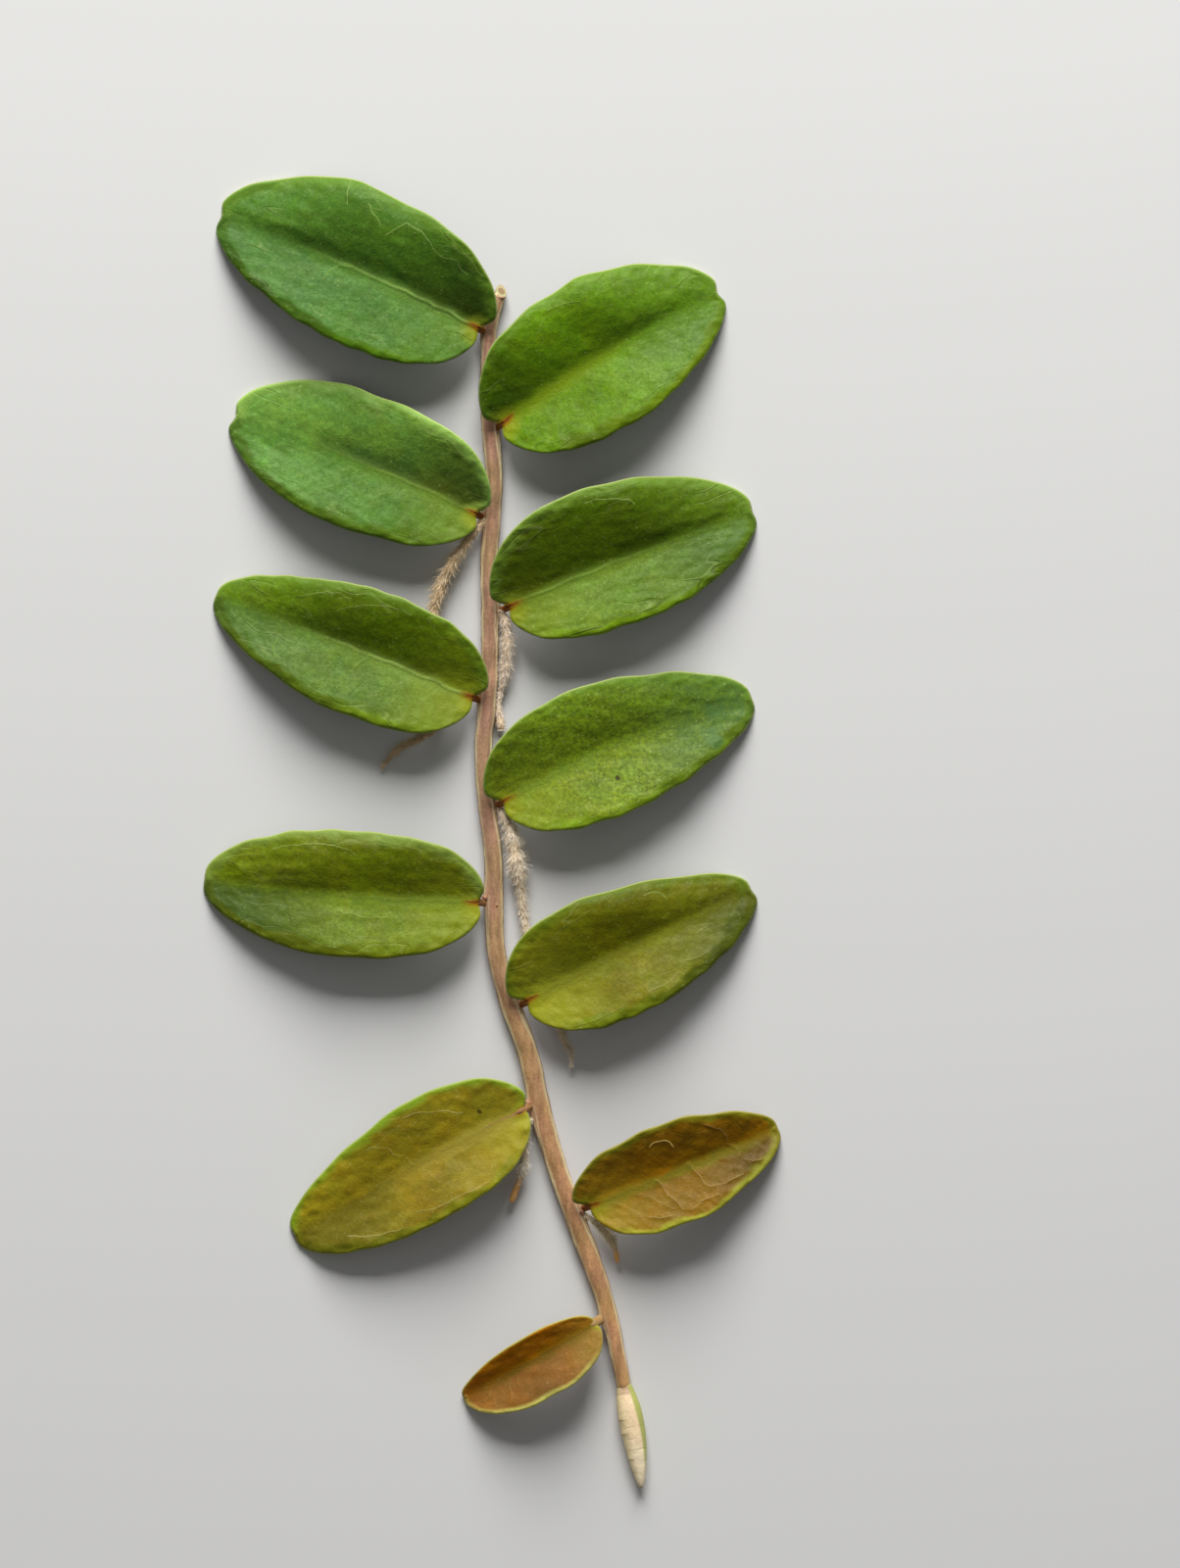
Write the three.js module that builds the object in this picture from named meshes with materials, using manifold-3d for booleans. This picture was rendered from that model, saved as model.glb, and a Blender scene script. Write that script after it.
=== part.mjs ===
// A marcgravia cutting laid on a table, leaf faces up.
// Millimetres. +Z is up, +Y runs towards the cut end, and the origin is on the table
// under the middle of the cutting.

import * as THREE from 'three';
import { ParametricGeometry } from 'three/addons/geometries/ParametricGeometry.js';
import { mergeVertices } from 'three/addons/utils/BufferGeometryUtils.js';
import Module from 'manifold-3d';

// Driving dimensions
const gap = 0.3;                // air between a piece and the stem that it grew on
const stemHeight = 1.05;
const nodeSwelling = 0.14;      // how much wider the stem is at a leaf node
const nodeSpread = 1.1;         // how far along the stem that swelling reaches
const leafThickness = 0.5;
const marginRoll = 0.76;        // how strongly the margin turns down again
const baseHeight = 1.65;        // top of the midrib where the petiole meets the blade
const tipHeight = 0.3;          // the same at the tip, which rests on the table
const sinusWidth = 0.05;        // half-width of the basal notch, as a share of the blade's length
const tipNotchWidth = 0.035;    // half-width of the notch at the tip, likewise
const petioleRadius = 0.2;
const petioleReach = 0.9;       // how far the petiole runs on under the blade as the midrib
const rootThickness = 0.7;
const rootBluntness = 2.4;      // roundness of the taper, as for the leaves below
const shootTip = {
  start: [8.93, -37.55],
  end: [10.23, -44.6],
  halfWidth: 0.82,              // at its thickest
  widest: 0.28,                 // the share of its length where that is
  pointHeight: 0.3,
  bluntStart: 0.12,             // how far before its start the oval of its outline would close
  startRound: 1.8,
  endRound: 1.45,
};

// Mesh steps
const bladeAlong = 18;
const bladeAround = 16;
const stemAlong = 46;
const stemAround = 12;
const rootAlong = 16;
const rootAround = 8;
const petioleAlong = 6;
const petioleAround = 8;
const shootTipAlong = 14;
const shootTipAround = 12;
const halvings = 24;            // steps of the search for a height on the stem

// The stem's middle seen from above, with its width: [x, y, width]. The points stand at the
// leaf nodes and halfway between them.
const stemStations = [
  [0.70, 36.9, 0.80],
  [-0.05, 34.5, 0.95],
  [-0.14, 31.0, 1.02],
  [-0.04, 27.5, 1.10],
  [0.18, 24.6, 1.16],
  [0.06, 21.7, 1.18],
  [-0.14, 18.5, 1.20],
  [-0.10, 15.4, 1.20],
  [-0.08, 12.4, 1.20],
  [-0.22, 9.4, 1.22],
  [-0.52, 5.8, 1.22],
  [-0.32, 2.2, 1.24],
  [0.18, -1.4, 1.24],
  [0.26, -4.5, 1.26],
  [0.36, -8.0, 1.28],
  [1.16, -11.3, 1.32],
  [2.45, -14.9, 1.38],
  [3.34, -18.6, 1.42],
  [4.32, -22.1, 1.36],
  [5.44, -25.5, 1.30],
  [6.85, -29.4, 1.20],
  [7.98, -32.9, 1.08],
  [8.86, -37.2, 0.94],
];

// One half of a blade, from the midrib out to one margin, in millimetres. `widest` is a share
// of the blade's length. `lobe` is how far the half reaches back past the petiole, and
// `overshoot` how far it reaches past the tip notch. The two roundness values say how blunt
// the base and the tip are: 1 is pointed and 4 nearly square.
const half = (width, widest, baseRound, tipRound, lobe, overshoot) => (
  { width, widest, baseRound, tipRound, lobe, overshoot }
);

// The leaves from the cut end down. `node` is the height of the leaf's node on the stem,
// `base` the meeting of petiole and blade, `aim` the blade's direction in degrees from +X, and
// `bow` how far the midrib bends towards +Y at mid-length. `arch` is how far the midrib would
// rise over the whole blade if it went on as it starts, and `fold` how steeply each half climbs
// from the midrib. `upper` is the half on the +Y side.
const leaves = [
  {
    name: 'leaf_left_1', node: 34.5, base: [-0.81, 34.29], aim: 156.4, length: 19.1, bow: 0.45,
    arch: 1.30, fold: 0.48,
    upper: half(5.85, 0.56, 2.6, 1.3, 1.0, 0.55), lower: half(4.75, 0.50, 3.2, 1.5, 0.3, 0.30),
    color: 0x587f3b,
  },
  {
    name: 'leaf_right_1', node: 27.6, base: [0.73, 27.80], aim: 31.3, length: 17.2, bow: 0.55,
    arch: 1.05, fold: 0.50,
    upper: half(5.85, 0.54, 3.0, 1.35, 1.0, 0.50), lower: half(4.65, 0.52, 2.9, 1.3, 0.5, 0.40),
    color: 0x66862a,
  },
  {
    name: 'leaf_left_2', node: 21.7, base: [-0.99, 21.67], aim: 157.9, length: 17.6, bow: 0.40,
    arch: 1.10, fold: 0.44,
    upper: half(5.05, 0.54, 3.4, 1.6, 0.8, 0.50), lower: half(4.30, 0.58, 3.0, 1.5, 0.5, 0.45),
    color: 0x598138,
  },
  {
    name: 'leaf_right_2', node: 15.4, base: [1.24, 15.37], aim: 21.5, length: 17.8, bow: 0.45,
    arch: 1.30, fold: 0.49,
    upper: half(5.65, 0.42, 2.6, 1.5, 1.1, 0.30), lower: half(4.20, 0.56, 3.2, 1.4, 0.4, 0.25),
    color: 0x5f8030,
  },
  {
    name: 'leaf_left_3', node: 9.4, base: [-1.20, 9.20], aim: 158.4, length: 18.9, bow: 0.20,
    arch: 1.40, fold: 0.45,
    upper: half(4.45, 0.45, 2.7, 1.3, 0.9, 0.20), lower: half(4.25, 0.48, 3.2, 1.25, 0.3, 0.20),
    color: 0x607e32,
  },
  {
    name: 'leaf_right_3', node: 2.2, base: [0.80, 2.04], aim: 22.7, length: 18.4, bow: 0.50,
    arch: 1.15, fold: 0.46,
    upper: half(5.25, 0.44, 2.8, 1.3, 1.1, 0.20), lower: half(3.95, 0.42, 2.3, 1.5, 0.3, 0.20),
    color: 0x68802c,
  },
  {
    name: 'leaf_left_4', node: -4.5, base: [-0.94, -4.73], aim: 175.1, length: 18.6, bow: -0.30,
    arch: 1.00, fold: 0.43,
    upper: half(4.15, 0.48, 3.0, 1.4, 0.5, 0.15), lower: half(4.50, 0.55, 3.2, 1.3, 0.4, 0.25),
    color: 0x627830,
  },
  {
    name: 'leaf_right_4', node: -11.3, base: [2.42, -11.50], aim: 26.5, length: 17.1, bow: 0.40,
    arch: 1.35, fold: 0.45,
    upper: half(4.60, 0.42, 2.9, 1.2, 1.1, 0.25), lower: half(4.30, 0.46, 2.4, 1.6, 0.2, 0.35),
    color: 0x6e7626,
  },
  {
    name: 'leaf_left_5', node: -18.6, base: [2.33, -18.73], aim: 208.6, length: 18.0, bow: 0.15,
    arch: 1.15, fold: 0.46,
    upper: half(4.20, 0.40, 2.4, 1.25, 0.7, 0.20), lower: half(4.00, 0.48, 2.8, 1.9, 0.1, 0.30),
    color: 0x84772a,
  },
  {
    name: 'leaf_right_5', node: -25.5, base: [6.67, -25.40], aim: 22.4, length: 13.9, bow: 0.40,
    arch: 1.00, fold: 0.52,
    upper: half(3.35, 0.50, 3.0, 1.35, 0.9, 0.15), lower: half(3.65, 0.50, 2.8, 1.3, 0.1, 0.15),
    color: 0x7c5f26,
  },
  {
    name: 'leaf_left_6', node: -32.9, base: [7.11, -33.30], aim: 209.8, length: 10.4, bow: 0,
    arch: 0.85, fold: 0.62,
    upper: half(1.65, 0.55, 3.2, 1.4, 0.1, 0.12), lower: half(2.90, 0.52, 3.2, 1.4, 0.2, 0.12),
    color: 0x7c5a24,
  },
];

// The aerial roots, named for the leaf at whose node they spring. Each route starts inside the
// stem and then lies on the table: [x, y].
const roots = [
  {
    name: 'aerial_root_left_2',
    route: [[0, 21.5], [-1.0, 20.7], [-2.1, 19.2], [-3.2, 17.4], [-3.95, 15.0], [-4.05, 12.0],
      [-3.75, 9.2], [-3.7, 7.3], [-5.0, 6.5], [-6.4, 5.7], [-7.55, 4.35]],
  },
  {
    name: 'aerial_root_right_2',
    route: [[0.1, 15.2], [1.1, 14.6], [1.45, 13.4], [1.35, 11.5], [1.1, 9.6], [1.0, 8.2], [1.0, 7.0]],
  },
  {
    name: 'aerial_root_right_3',
    route: [[0, 2.0], [0.8, 1.1], [1.25, -0.5], [1.55, -2.2], [1.95, -4.3], [2.5, -6.5], [3.35, -9.3],
      [4.25, -12.0], [4.85, -14.0], [5.45, -15.9]],
  },
  {
    name: 'aerial_root_left_5',
    route: [[3.4, -18.9], [2.65, -19.9], [2.35, -21.2], [2.35, -22.6], [1.95, -24.0], [1.35, -25.1]],
  },
  {
    name: 'aerial_root_right_5',
    route: [[5.5, -25.6], [6.8, -26.1], [7.6, -27.0], [8.2, -28.0], [8.6, -29.3]],
  },
];

const wasm = await Module();
wasm.setup();

// A closed skin from a function of two shares: `around` the section and `along` the piece. Both
// ends close in a point, so the triangles that shrink to nothing there are dropped.
function closedSkin(pointAt, around, along) {
  const skin = new ParametricGeometry(
    (u, v, target) => target.copy(pointAt(u % 1, v)),
    around,
    along,
  );
  skin.deleteAttribute('normal');
  skin.deleteAttribute('uv');
  const merged = mergeVertices(skin);
  const corners = merged.index.array;
  const kept = [];
  for (let i = 0; i < corners.length; i += 3) {
    const [a, b, c] = corners.slice(i, i + 3);
    if (a !== b && b !== c && c !== a) {
      kept.push(a, b, c);
    }
  }
  const positions = merged.attributes.position.array;
  if (signedVolume(positions, kept) < 0) {
    kept.reverse();
  }
  return new wasm.Manifold(new wasm.Mesh({
    numProp: 3,
    vertProperties: positions,
    triVerts: new Uint32Array(kept),
  }));
}

// Six times the volume inside a closed mesh, negative where its faces look inwards.
function signedVolume(positions, corners) {
  const points = [new THREE.Vector3(), new THREE.Vector3(), new THREE.Vector3()];
  let total = 0;
  for (let i = 0; i < corners.length; i += 3) {
    points.forEach((point, corner) => point.fromArray(positions, 3 * corners[i + corner]));
    total += points[0].dot(points[1].cross(points[2]));
  }
  return total;
}

function named(name, solid, color, roughness) {
  const { vertProperties, triVerts } = solid.getMesh();
  const geometry = new THREE.BufferGeometry();
  geometry.setAttribute('position', new THREE.BufferAttribute(vertProperties, 3));
  geometry.setIndex(new THREE.BufferAttribute(triVerts, 1));
  geometry.computeVertexNormals();
  const material = new THREE.MeshStandardMaterial({ color, roughness, metalness: 0 });
  const mesh = new THREE.Mesh(geometry, material);
  mesh.name = name;
  return mesh;
}

// The breadth of a blunt oval as a share of its greatest, at `reach` from the widest place (0)
// to the end (1).
function ovalBreadth(reach, roundness) {
  return Math.sqrt(Math.max(0, 1 - Math.min(reach, 1) ** roundness));
}

// A tube of oval section along a route, flattened where it would pass below the table. The
// section functions take the share along the route. The first and last rings stand on the ends
// of the route, so that those ends are flat.
function layTube(route, halfWidthAt, halfHeightAt, around, steps) {
  const rings = steps + 2;
  return closedSkin((u, v) => {
    const share = THREE.MathUtils.clamp((v * rings - 1) / steps, 0, 1);
    const open = v > 0.5 / rings && v < 1 - 0.5 / rings ? 1 : 0;
    const middle = route.getPoint(share);
    const ahead = route.getTangent(share);
    const side = new THREE.Vector3(-ahead.y, ahead.x, 0).normalize();
    const angle = 2 * Math.PI * u;
    middle.addScaledVector(side, open * halfWidthAt(share) * Math.cos(angle));
    middle.z += open * halfHeightAt(share) * Math.sin(angle);
    middle.z = Math.max(middle.z, 0);
    return middle;
  }, around, rings);
}

// Stem. The curve's third coordinate is the stem's width.
const stemCurve = new THREE.CatmullRomCurve3(stemStations.map((station) => new THREE.Vector3(...station)));

function swellingAt(y) {
  return leaves.reduce((sum, leaf) => sum + Math.exp(-(((y - leaf.node) / nodeSpread) ** 2)), 0);
}

function stemSolid(clearance) {
  const middle = new THREE.CatmullRomCurve3(
    stemStations.map(([x, y]) => new THREE.Vector3(x, y, stemHeight / 2)),
  );
  const halfWidthAt = (share) => {
    const { y, z: width } = stemCurve.getPoint(share);
    return (width + nodeSwelling * swellingAt(y)) / 2 + clearance;
  };
  const halfHeightAt = () => stemHeight / 2 + clearance;
  return layTube(middle, halfWidthAt, halfHeightAt, stemAround, stemAlong);
}

// The stem's middle at a height y, found by halving the curve.
function stemAt(y) {
  let low = 0;
  let high = 1;
  for (let i = 0; i < halvings; i += 1) {
    const middle = (low + high) / 2;
    if (stemCurve.getPoint(middle).y > y) {
      low = middle;
    } else {
      high = middle;
    }
  }
  const { x } = stemCurve.getPoint(low);
  return new THREE.Vector2(x, y);
}

const stem = stemSolid(0);
const stemSpace = stemSolid(gap);

// Blade. `turn` runs from the base (0) round the margin to the tip (pi). The margin's place is
// given along and across the straight line from base to tip.
function marginAt(side, length, turn) {
  const towardsBase = turn < Math.PI / 2;
  const reach = Math.abs(Math.cos(turn));
  const widest = side.widest * length;
  const breadth = side.width * ovalBreadth(reach, towardsBase ? side.baseRound : side.tipRound);
  if (towardsBase) {
    const sinus = side.lobe * Math.exp(-((breadth / (sinusWidth * length)) ** 2));
    return { along: widest - (widest + side.lobe) * reach + sinus, across: breadth };
  }
  const notch = side.overshoot * Math.exp(-((breadth / (tipNotchWidth * length)) ** 2));
  return { along: widest + (length + side.overshoot - widest) * reach - notch, across: breadth };
}

// The midrib rises from the petiole and then bends down to the table.
function midribHeight(arch, share) {
  const drop = baseHeight + arch - tipHeight;
  return baseHeight + arch * share - drop * share * share;
}

function bladeSolid(leaf) {
  const aim = THREE.MathUtils.degToRad(leaf.aim);
  const ahead = new THREE.Vector2(Math.cos(aim), Math.sin(aim));
  const upward = new THREE.Vector2(-ahead.y, ahead.x);
  if (upward.y < 0) {
    upward.negate();
  }
  const base = new THREE.Vector2(...leaf.base);
  return closedSkin((u, v) => {
    const turn = Math.PI * v;
    const share = (1 - Math.cos(turn)) / 2;
    const reach = Math.cos(2 * Math.PI * u);
    const out = Math.abs(reach);
    const side = reach > 0 ? leaf.upper : leaf.lower;
    const margin = marginAt(side, leaf.length, turn);
    const marginAcross = reach > 0 ? margin.across : -margin.across;
    const ribAlong = leaf.length * share;
    const ribAcross = 4 * leaf.bow * share * (1 - share);
    const along = THREE.MathUtils.lerp(ribAlong, margin.along, out);
    const across = THREE.MathUtils.lerp(ribAcross, marginAcross, out);
    const spread = Math.hypot(margin.along - ribAlong, marginAcross - ribAcross);
    const rise = leaf.fold * spread * (out - marginRoll * out ** 3);
    const fullness = Math.sqrt(Math.abs(Math.sin(2 * Math.PI * u)));
    const top = midribHeight(leaf.arch, along / leaf.length) + rise;
    const height = u < 0.5 ? top : top - leafThickness * fullness;
    const place = base.clone().addScaledVector(ahead, along).addScaledVector(upward, across);
    return new THREE.Vector3(place.x, place.y, Math.max(height, 0));
  }, bladeAround, bladeAlong);
}

function petioleSolid(leaf) {
  const aim = THREE.MathUtils.degToRad(leaf.aim);
  const ribHeight = baseHeight - leafThickness / 2;
  const start = stemAt(leaf.node);
  const [x, y] = leaf.base;
  const route = new THREE.CatmullRomCurve3([
    new THREE.Vector3(start.x, start.y, stemHeight / 2),
    new THREE.Vector3(x, y, ribHeight),
    new THREE.Vector3(x + petioleReach * Math.cos(aim), y + petioleReach * Math.sin(aim), ribHeight),
  ]);
  return layTube(route, () => petioleRadius, () => petioleRadius, petioleAround, petioleAlong);
}

function leafSolid(leaf) {
  return bladeSolid(leaf).add(petioleSolid(leaf)).subtract(stemSpace);
}

// Aerial root: it leaves the stem at half height, sinks to the table and tapers to its end.
function rootSolid(root) {
  const route = new THREE.CatmullRomCurve3(root.route.map(([x, y], i) => (
    new THREE.Vector3(x, y, i === 0 ? stemHeight / 2 : rootThickness / 2)
  )));
  const halfSize = (share) => rootThickness / 2 * ovalBreadth(share, rootBluntness);
  return layTube(route, halfSize, halfSize, rootAround, rootAlong).subtract(stemSpace);
}

// Shoot tip: a spindle, thickest near the stem, that ends in a point.
function shootTipSolid() {
  const { start, end, halfWidth, widest, pointHeight, bluntStart, startRound, endRound } = shootTip;
  const route = new THREE.LineCurve3(
    new THREE.Vector3(...start, halfWidth),
    new THREE.Vector3(...end, pointHeight),
  );
  const halfSize = (share) => {
    if (share < widest) {
      return halfWidth * ovalBreadth((widest - share) / (widest + bluntStart), startRound);
    }
    return halfWidth * ovalBreadth((share - widest) / (1 - widest), endRound);
  };
  return layTube(route, halfSize, halfSize, shootTipAround, shootTipAlong).subtract(stemSpace);
}

const cutting = new THREE.Group();
cutting.add(named('stem', stem, 0x94745a, 0.75));
for (const leaf of leaves) {
  cutting.add(named(leaf.name, leafSolid(leaf), leaf.color, 0.45));
}
for (const root of roots) {
  cutting.add(named(root.name, rootSolid(root), 0xa08c6c, 0.95));
}
cutting.add(named('shoot_tip', shootTipSolid(), 0xe0c69c, 0.6));

export default cutting;
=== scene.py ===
import math

import bpy
import numpy as np
from mathutils.kdtree import KDTree
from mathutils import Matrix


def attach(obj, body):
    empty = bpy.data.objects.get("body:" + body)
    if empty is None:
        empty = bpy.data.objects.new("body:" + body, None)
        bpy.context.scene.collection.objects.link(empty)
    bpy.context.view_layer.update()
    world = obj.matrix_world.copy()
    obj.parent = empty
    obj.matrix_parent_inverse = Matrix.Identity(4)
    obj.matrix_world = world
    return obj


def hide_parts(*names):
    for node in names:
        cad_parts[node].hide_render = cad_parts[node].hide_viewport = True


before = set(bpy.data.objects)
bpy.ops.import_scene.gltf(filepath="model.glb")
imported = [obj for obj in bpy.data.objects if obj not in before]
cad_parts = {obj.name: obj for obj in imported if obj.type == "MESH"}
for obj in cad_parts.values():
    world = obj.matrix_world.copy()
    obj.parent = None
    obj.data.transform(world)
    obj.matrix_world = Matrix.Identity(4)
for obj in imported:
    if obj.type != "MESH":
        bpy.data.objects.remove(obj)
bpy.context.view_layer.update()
print("frame loaded, box of the CAD model kept")

mm = 0.001


# camera, light and floor

cameraView = {
    "place": (6.73, 3.33, 593.8),  # mm, straight above the cutting
    "lens": 200.0,
    "sensor": 36.0,
}
studio = {
    "elevation": 29.0,  # degrees, low from the cut end's side
    "distance": 600.0,
    "size": 0.35,
    "power": 6.3,
    "fill": 0.15,
    "floorSize": 6.0,
    "floorColour": (0.72, 0.715, 0.7, 1),
}


def clearSelection():
    if bpy.context.mode != 'OBJECT':
        bpy.ops.object.mode_set(mode='OBJECT')
    bpy.ops.object.select_all(action='DESELECT')


def selectOnly(active, *others):
    clearSelection()
    for piece in (*others, active):
        piece.select_set(True)
    bpy.context.view_layer.objects.active = active


def editAll():
    bpy.ops.object.mode_set(mode='EDIT')
    bpy.ops.mesh.select_all(action='SELECT')


def buildStudio():
    clearSelection()
    place = [value * mm for value in cameraView["place"]]
    bpy.ops.object.camera_add(location=place, rotation=(0, 0, 0))
    camera = bpy.context.object
    camera.data.lens = cameraView["lens"]
    camera.data.sensor_width = cameraView["sensor"]
    camera.data.clip_start = 0.01
    camera.data.clip_end = 20
    bpy.context.scene.camera = camera

    rise = math.radians(studio["elevation"])
    away = studio["distance"] * mm
    bpy.ops.object.light_add(
        type='AREA',
        location=(0, away * math.cos(rise), away * math.sin(rise)),
        rotation=(rise - math.pi / 2, 0, 0),
    )
    lamp = bpy.context.object
    lamp.data.shape = 'SQUARE'
    lamp.data.size = studio["size"]
    lamp.data.energy = studio["power"]

    world = bpy.data.worlds.new("softFill")
    world.use_nodes = True
    world.node_tree.nodes["Background"].inputs["Color"].default_value = (1, 1, 1, 1)
    world.node_tree.nodes["Background"].inputs["Strength"].default_value = studio["fill"]
    bpy.context.scene.world = world
    bpy.context.scene.view_settings.view_transform = 'Standard'

    bpy.ops.mesh.primitive_plane_add(size=studio["floorSize"])
    floor = bpy.context.object
    floor.name = "paleFloor"
    paper = bpy.data.materials.new("palePaper")
    paper.use_nodes = True
    skin = paper.node_tree.nodes["Principled BSDF"]
    skin.inputs["Base Color"].default_value = studio["floorColour"]
    skin.inputs["Roughness"].default_value = 0.9
    skin.inputs["Specular IOR Level"].default_value = 0.1
    floor.data.materials.append(paper)


buildStudio()
print("camera, soft light and floor are in")


# short names for nodes, shared by every group and material

class Wiring:
    def __init__(self, tree):
        self.tree = tree

    def add(self, kind, **settings):
        node = self.tree.nodes.new("ShaderNode" + kind)
        for key, value in settings.items():
            setattr(node, key, value)
        return node

    def feed(self, socket, value):  # a link, or else a plain value
        if isinstance(value, bpy.types.NodeSocket):
            self.tree.links.new(value, socket)
        else:
            socket.default_value = value

    def calc(self, operation, *values):
        node = self.add("Math", operation=operation)
        for socket, value in zip(node.inputs, values):
            self.feed(socket, value)
        return node.outputs[0]

    def chain(self, operation, values):
        result = values[0]
        for value in values[1:]:
            result = self.calc(operation, result, value)
        return result

    def product(self, *values):
        return self.chain('MULTIPLY', values)

    def total(self, *values):
        return self.chain('ADD', values)

    def minus(self, first, second):
        return self.calc('SUBTRACT', first, second)

    def absolute(self, value):
        return self.calc('ABSOLUTE', value)

    def hypotenuse(self, first, second):
        return self.calc('SQRT', self.total(self.product(first, first), self.product(second, second)))

    def step(self, value, low, high, atLow=0.0, atHigh=1.0):  # smooth change from low to high
        node = self.add("MapRange", interpolation_type='SMOOTHSTEP')
        for socket, item in zip(node.inputs, (value, low, high, atLow, atHigh)):
            self.feed(socket, item)
        return node.outputs[0]

    def blend(self, factor, first, second, blendType='MIX'):
        node = self.add("Mix", data_type='RGBA', blend_type=blendType)
        self.feed(node.inputs[0], factor)
        self.feed(node.inputs[6], first)
        self.feed(node.inputs[7], second)
        return node.outputs[2]

    def layer(self, colour, tint, *masks):  # a tint over the colour, as strong as the masks together
        return self.blend(self.product(*masks), colour, tint)

    def shades(self, colour, factor):  # the colour times a number
        node = self.add("VectorMath", operation='SCALE')
        self.feed(node.inputs[0], colour)
        self.feed(node.inputs["Scale"], factor)
        return node.outputs[0]

    def tone(self, colour, *change):  # darker or lighter with a smooth step
        return self.shades(colour, self.step(*change))

    def moved(self, vector, shift):
        node = self.add("VectorMath", operation='ADD')
        self.feed(node.inputs[0], vector)
        self.feed(node.inputs[1], shift)
        return node.outputs[0]

    def joined(self, *values):  # three numbers as one vector
        node = self.add("CombineXYZ")
        for socket, value in zip(node.inputs, values):
            self.feed(socket, value)
        return node.outputs[0]

    def noise(self, vector, scale, detail=3.0, rough=0.5, output="Fac"):
        node = self.add("TexNoise")
        self.feed(node.inputs["Vector"], vector)
        self.feed(node.inputs["Scale"], scale)
        self.feed(node.inputs["Detail"], detail)
        self.feed(node.inputs["Roughness"], rough)
        return node.outputs[output]

    def cells(self, vector, scale, feature='F1'):
        node = self.add("TexVoronoi", feature=feature)
        self.feed(node.inputs["Vector"], vector)
        self.feed(node.inputs["Scale"], scale)
        return node

    def stretched(self, vector, size, turn=0.0):
        node = self.add("Mapping")
        self.feed(node.inputs["Vector"], vector)
        node.inputs["Scale"].default_value = size
        node.inputs["Rotation"].default_value = (0, 0, turn)
        return node.outputs[0]

    def attribute(self, name):
        return self.add("Attribute", attribute_name=name).outputs["Fac"]


def newGroup(name, inputs, outputs):
    tree = bpy.data.node_groups.new(name, 'ShaderNodeTree')
    kinds = {"value": 'NodeSocketFloat', "colour": 'NodeSocketColor', "vector": 'NodeSocketVector'}
    for label, kind in inputs:
        tree.interface.new_socket(label, in_out='INPUT', socket_type=kinds[kind])
    for label, kind in outputs:
        tree.interface.new_socket(label, in_out='OUTPUT', socket_type=kinds[kind])
    start = tree.nodes.new("NodeGroupInput").outputs
    end = tree.nodes.new("NodeGroupOutput").inputs
    return Wiring(tree), start, end


def placeGroup(wiring, name, values):
    node = wiring.tree.nodes.new("ShaderNodeGroup")
    node.node_tree = bpy.data.node_groups[name]
    for label, value in values.items():
        wiring.feed(node.inputs[label], value)
    return node.outputs


def newMaterial(name, roughness, specular, grainScale=None):
    material = bpy.data.materials.new(name)
    material.use_nodes = True
    skin = material.node_tree.nodes["Principled BSDF"]
    skin.inputs["Roughness"].default_value = roughness
    skin.inputs["Specular IOR Level"].default_value = specular
    w = Wiring(material.node_tree)
    spot = w.add("TexCoord").outputs["Object"]
    grain = grainScale and placeGroup(w, "plantGrain", {"Vector": spot, "Scale": grainScale})
    return material, w, skin, spot, grain


def coverSkin(w, skin, colour, height):  # heights are in mm
    bump = w.add("Bump")
    bump.inputs["Strength"].default_value = 1.0
    bump.inputs["Distance"].default_value = mm
    w.feed(bump.inputs["Height"], height)
    w.feed(skin.inputs["Normal"], bump.outputs[0])
    w.feed(skin.inputs["Base Color"], colour)


def makeGrainGroup():
    # blotches, small dashes and pale flecks that all the plant skins share
    w, start, end = newGroup(
        "plantGrain",
        [("Vector", "vector"), ("Scale", "value")],
        [("Blotch", "value"), ("Dash", "value"), ("Fleck", "value"), ("Pore", "value")],
    )
    fine = w.product(start["Scale"], 6.0)
    w.feed(end["Blotch"], w.noise(start["Vector"], start["Scale"], 4.0, 0.6))
    w.feed(end["Dash"], w.noise(start["Vector"], fine, 2.0, 0.6))
    spots = w.cells(start["Vector"], w.product(start["Scale"], 4.6))
    chosen = w.step(w.noise(spots.outputs["Position"], 9000.0, 0.0), 0.5, 0.58)
    w.feed(end["Fleck"], w.product(w.step(spots.outputs["Distance"], 0.3, 0.1), chosen))
    pores = w.cells(start["Vector"], w.product(start["Scale"], 9.0))
    w.feed(end["Pore"], w.step(pores.outputs["Distance"], 0.45, 0.1))


makeGrainGroup()
print("shared grain group made")


# mesh helpers, all in mm until the last step

def vertexPlaces(mesh):
    flat = np.empty(len(mesh.vertices) * 3)
    mesh.vertices.foreach_get("co", flat)
    return flat.reshape(-1, 3)


def setPlaces(mesh, places):
    mesh.vertices.foreach_set("co", np.asarray(places, dtype=np.float64).ravel())
    mesh.update()


def addValues(mesh, **columns):  # point attributes that the materials read
    for name, values in columns.items():
        layer = mesh.attributes.new(name, 'FLOAT', 'POINT')
        layer.data.foreach_set("value", np.asarray(values, dtype=np.float32))


def walkedAlong(path):  # plan length from the first row to each row
    return np.concatenate([[0], np.cumsum(np.hypot(*np.diff(path[:, :2], axis=0).T))])


def softStep(low, high, value):
    share = np.clip((value - low) / (high - low), 0, 1)
    return share * share * (3 - 2 * share)


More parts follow.
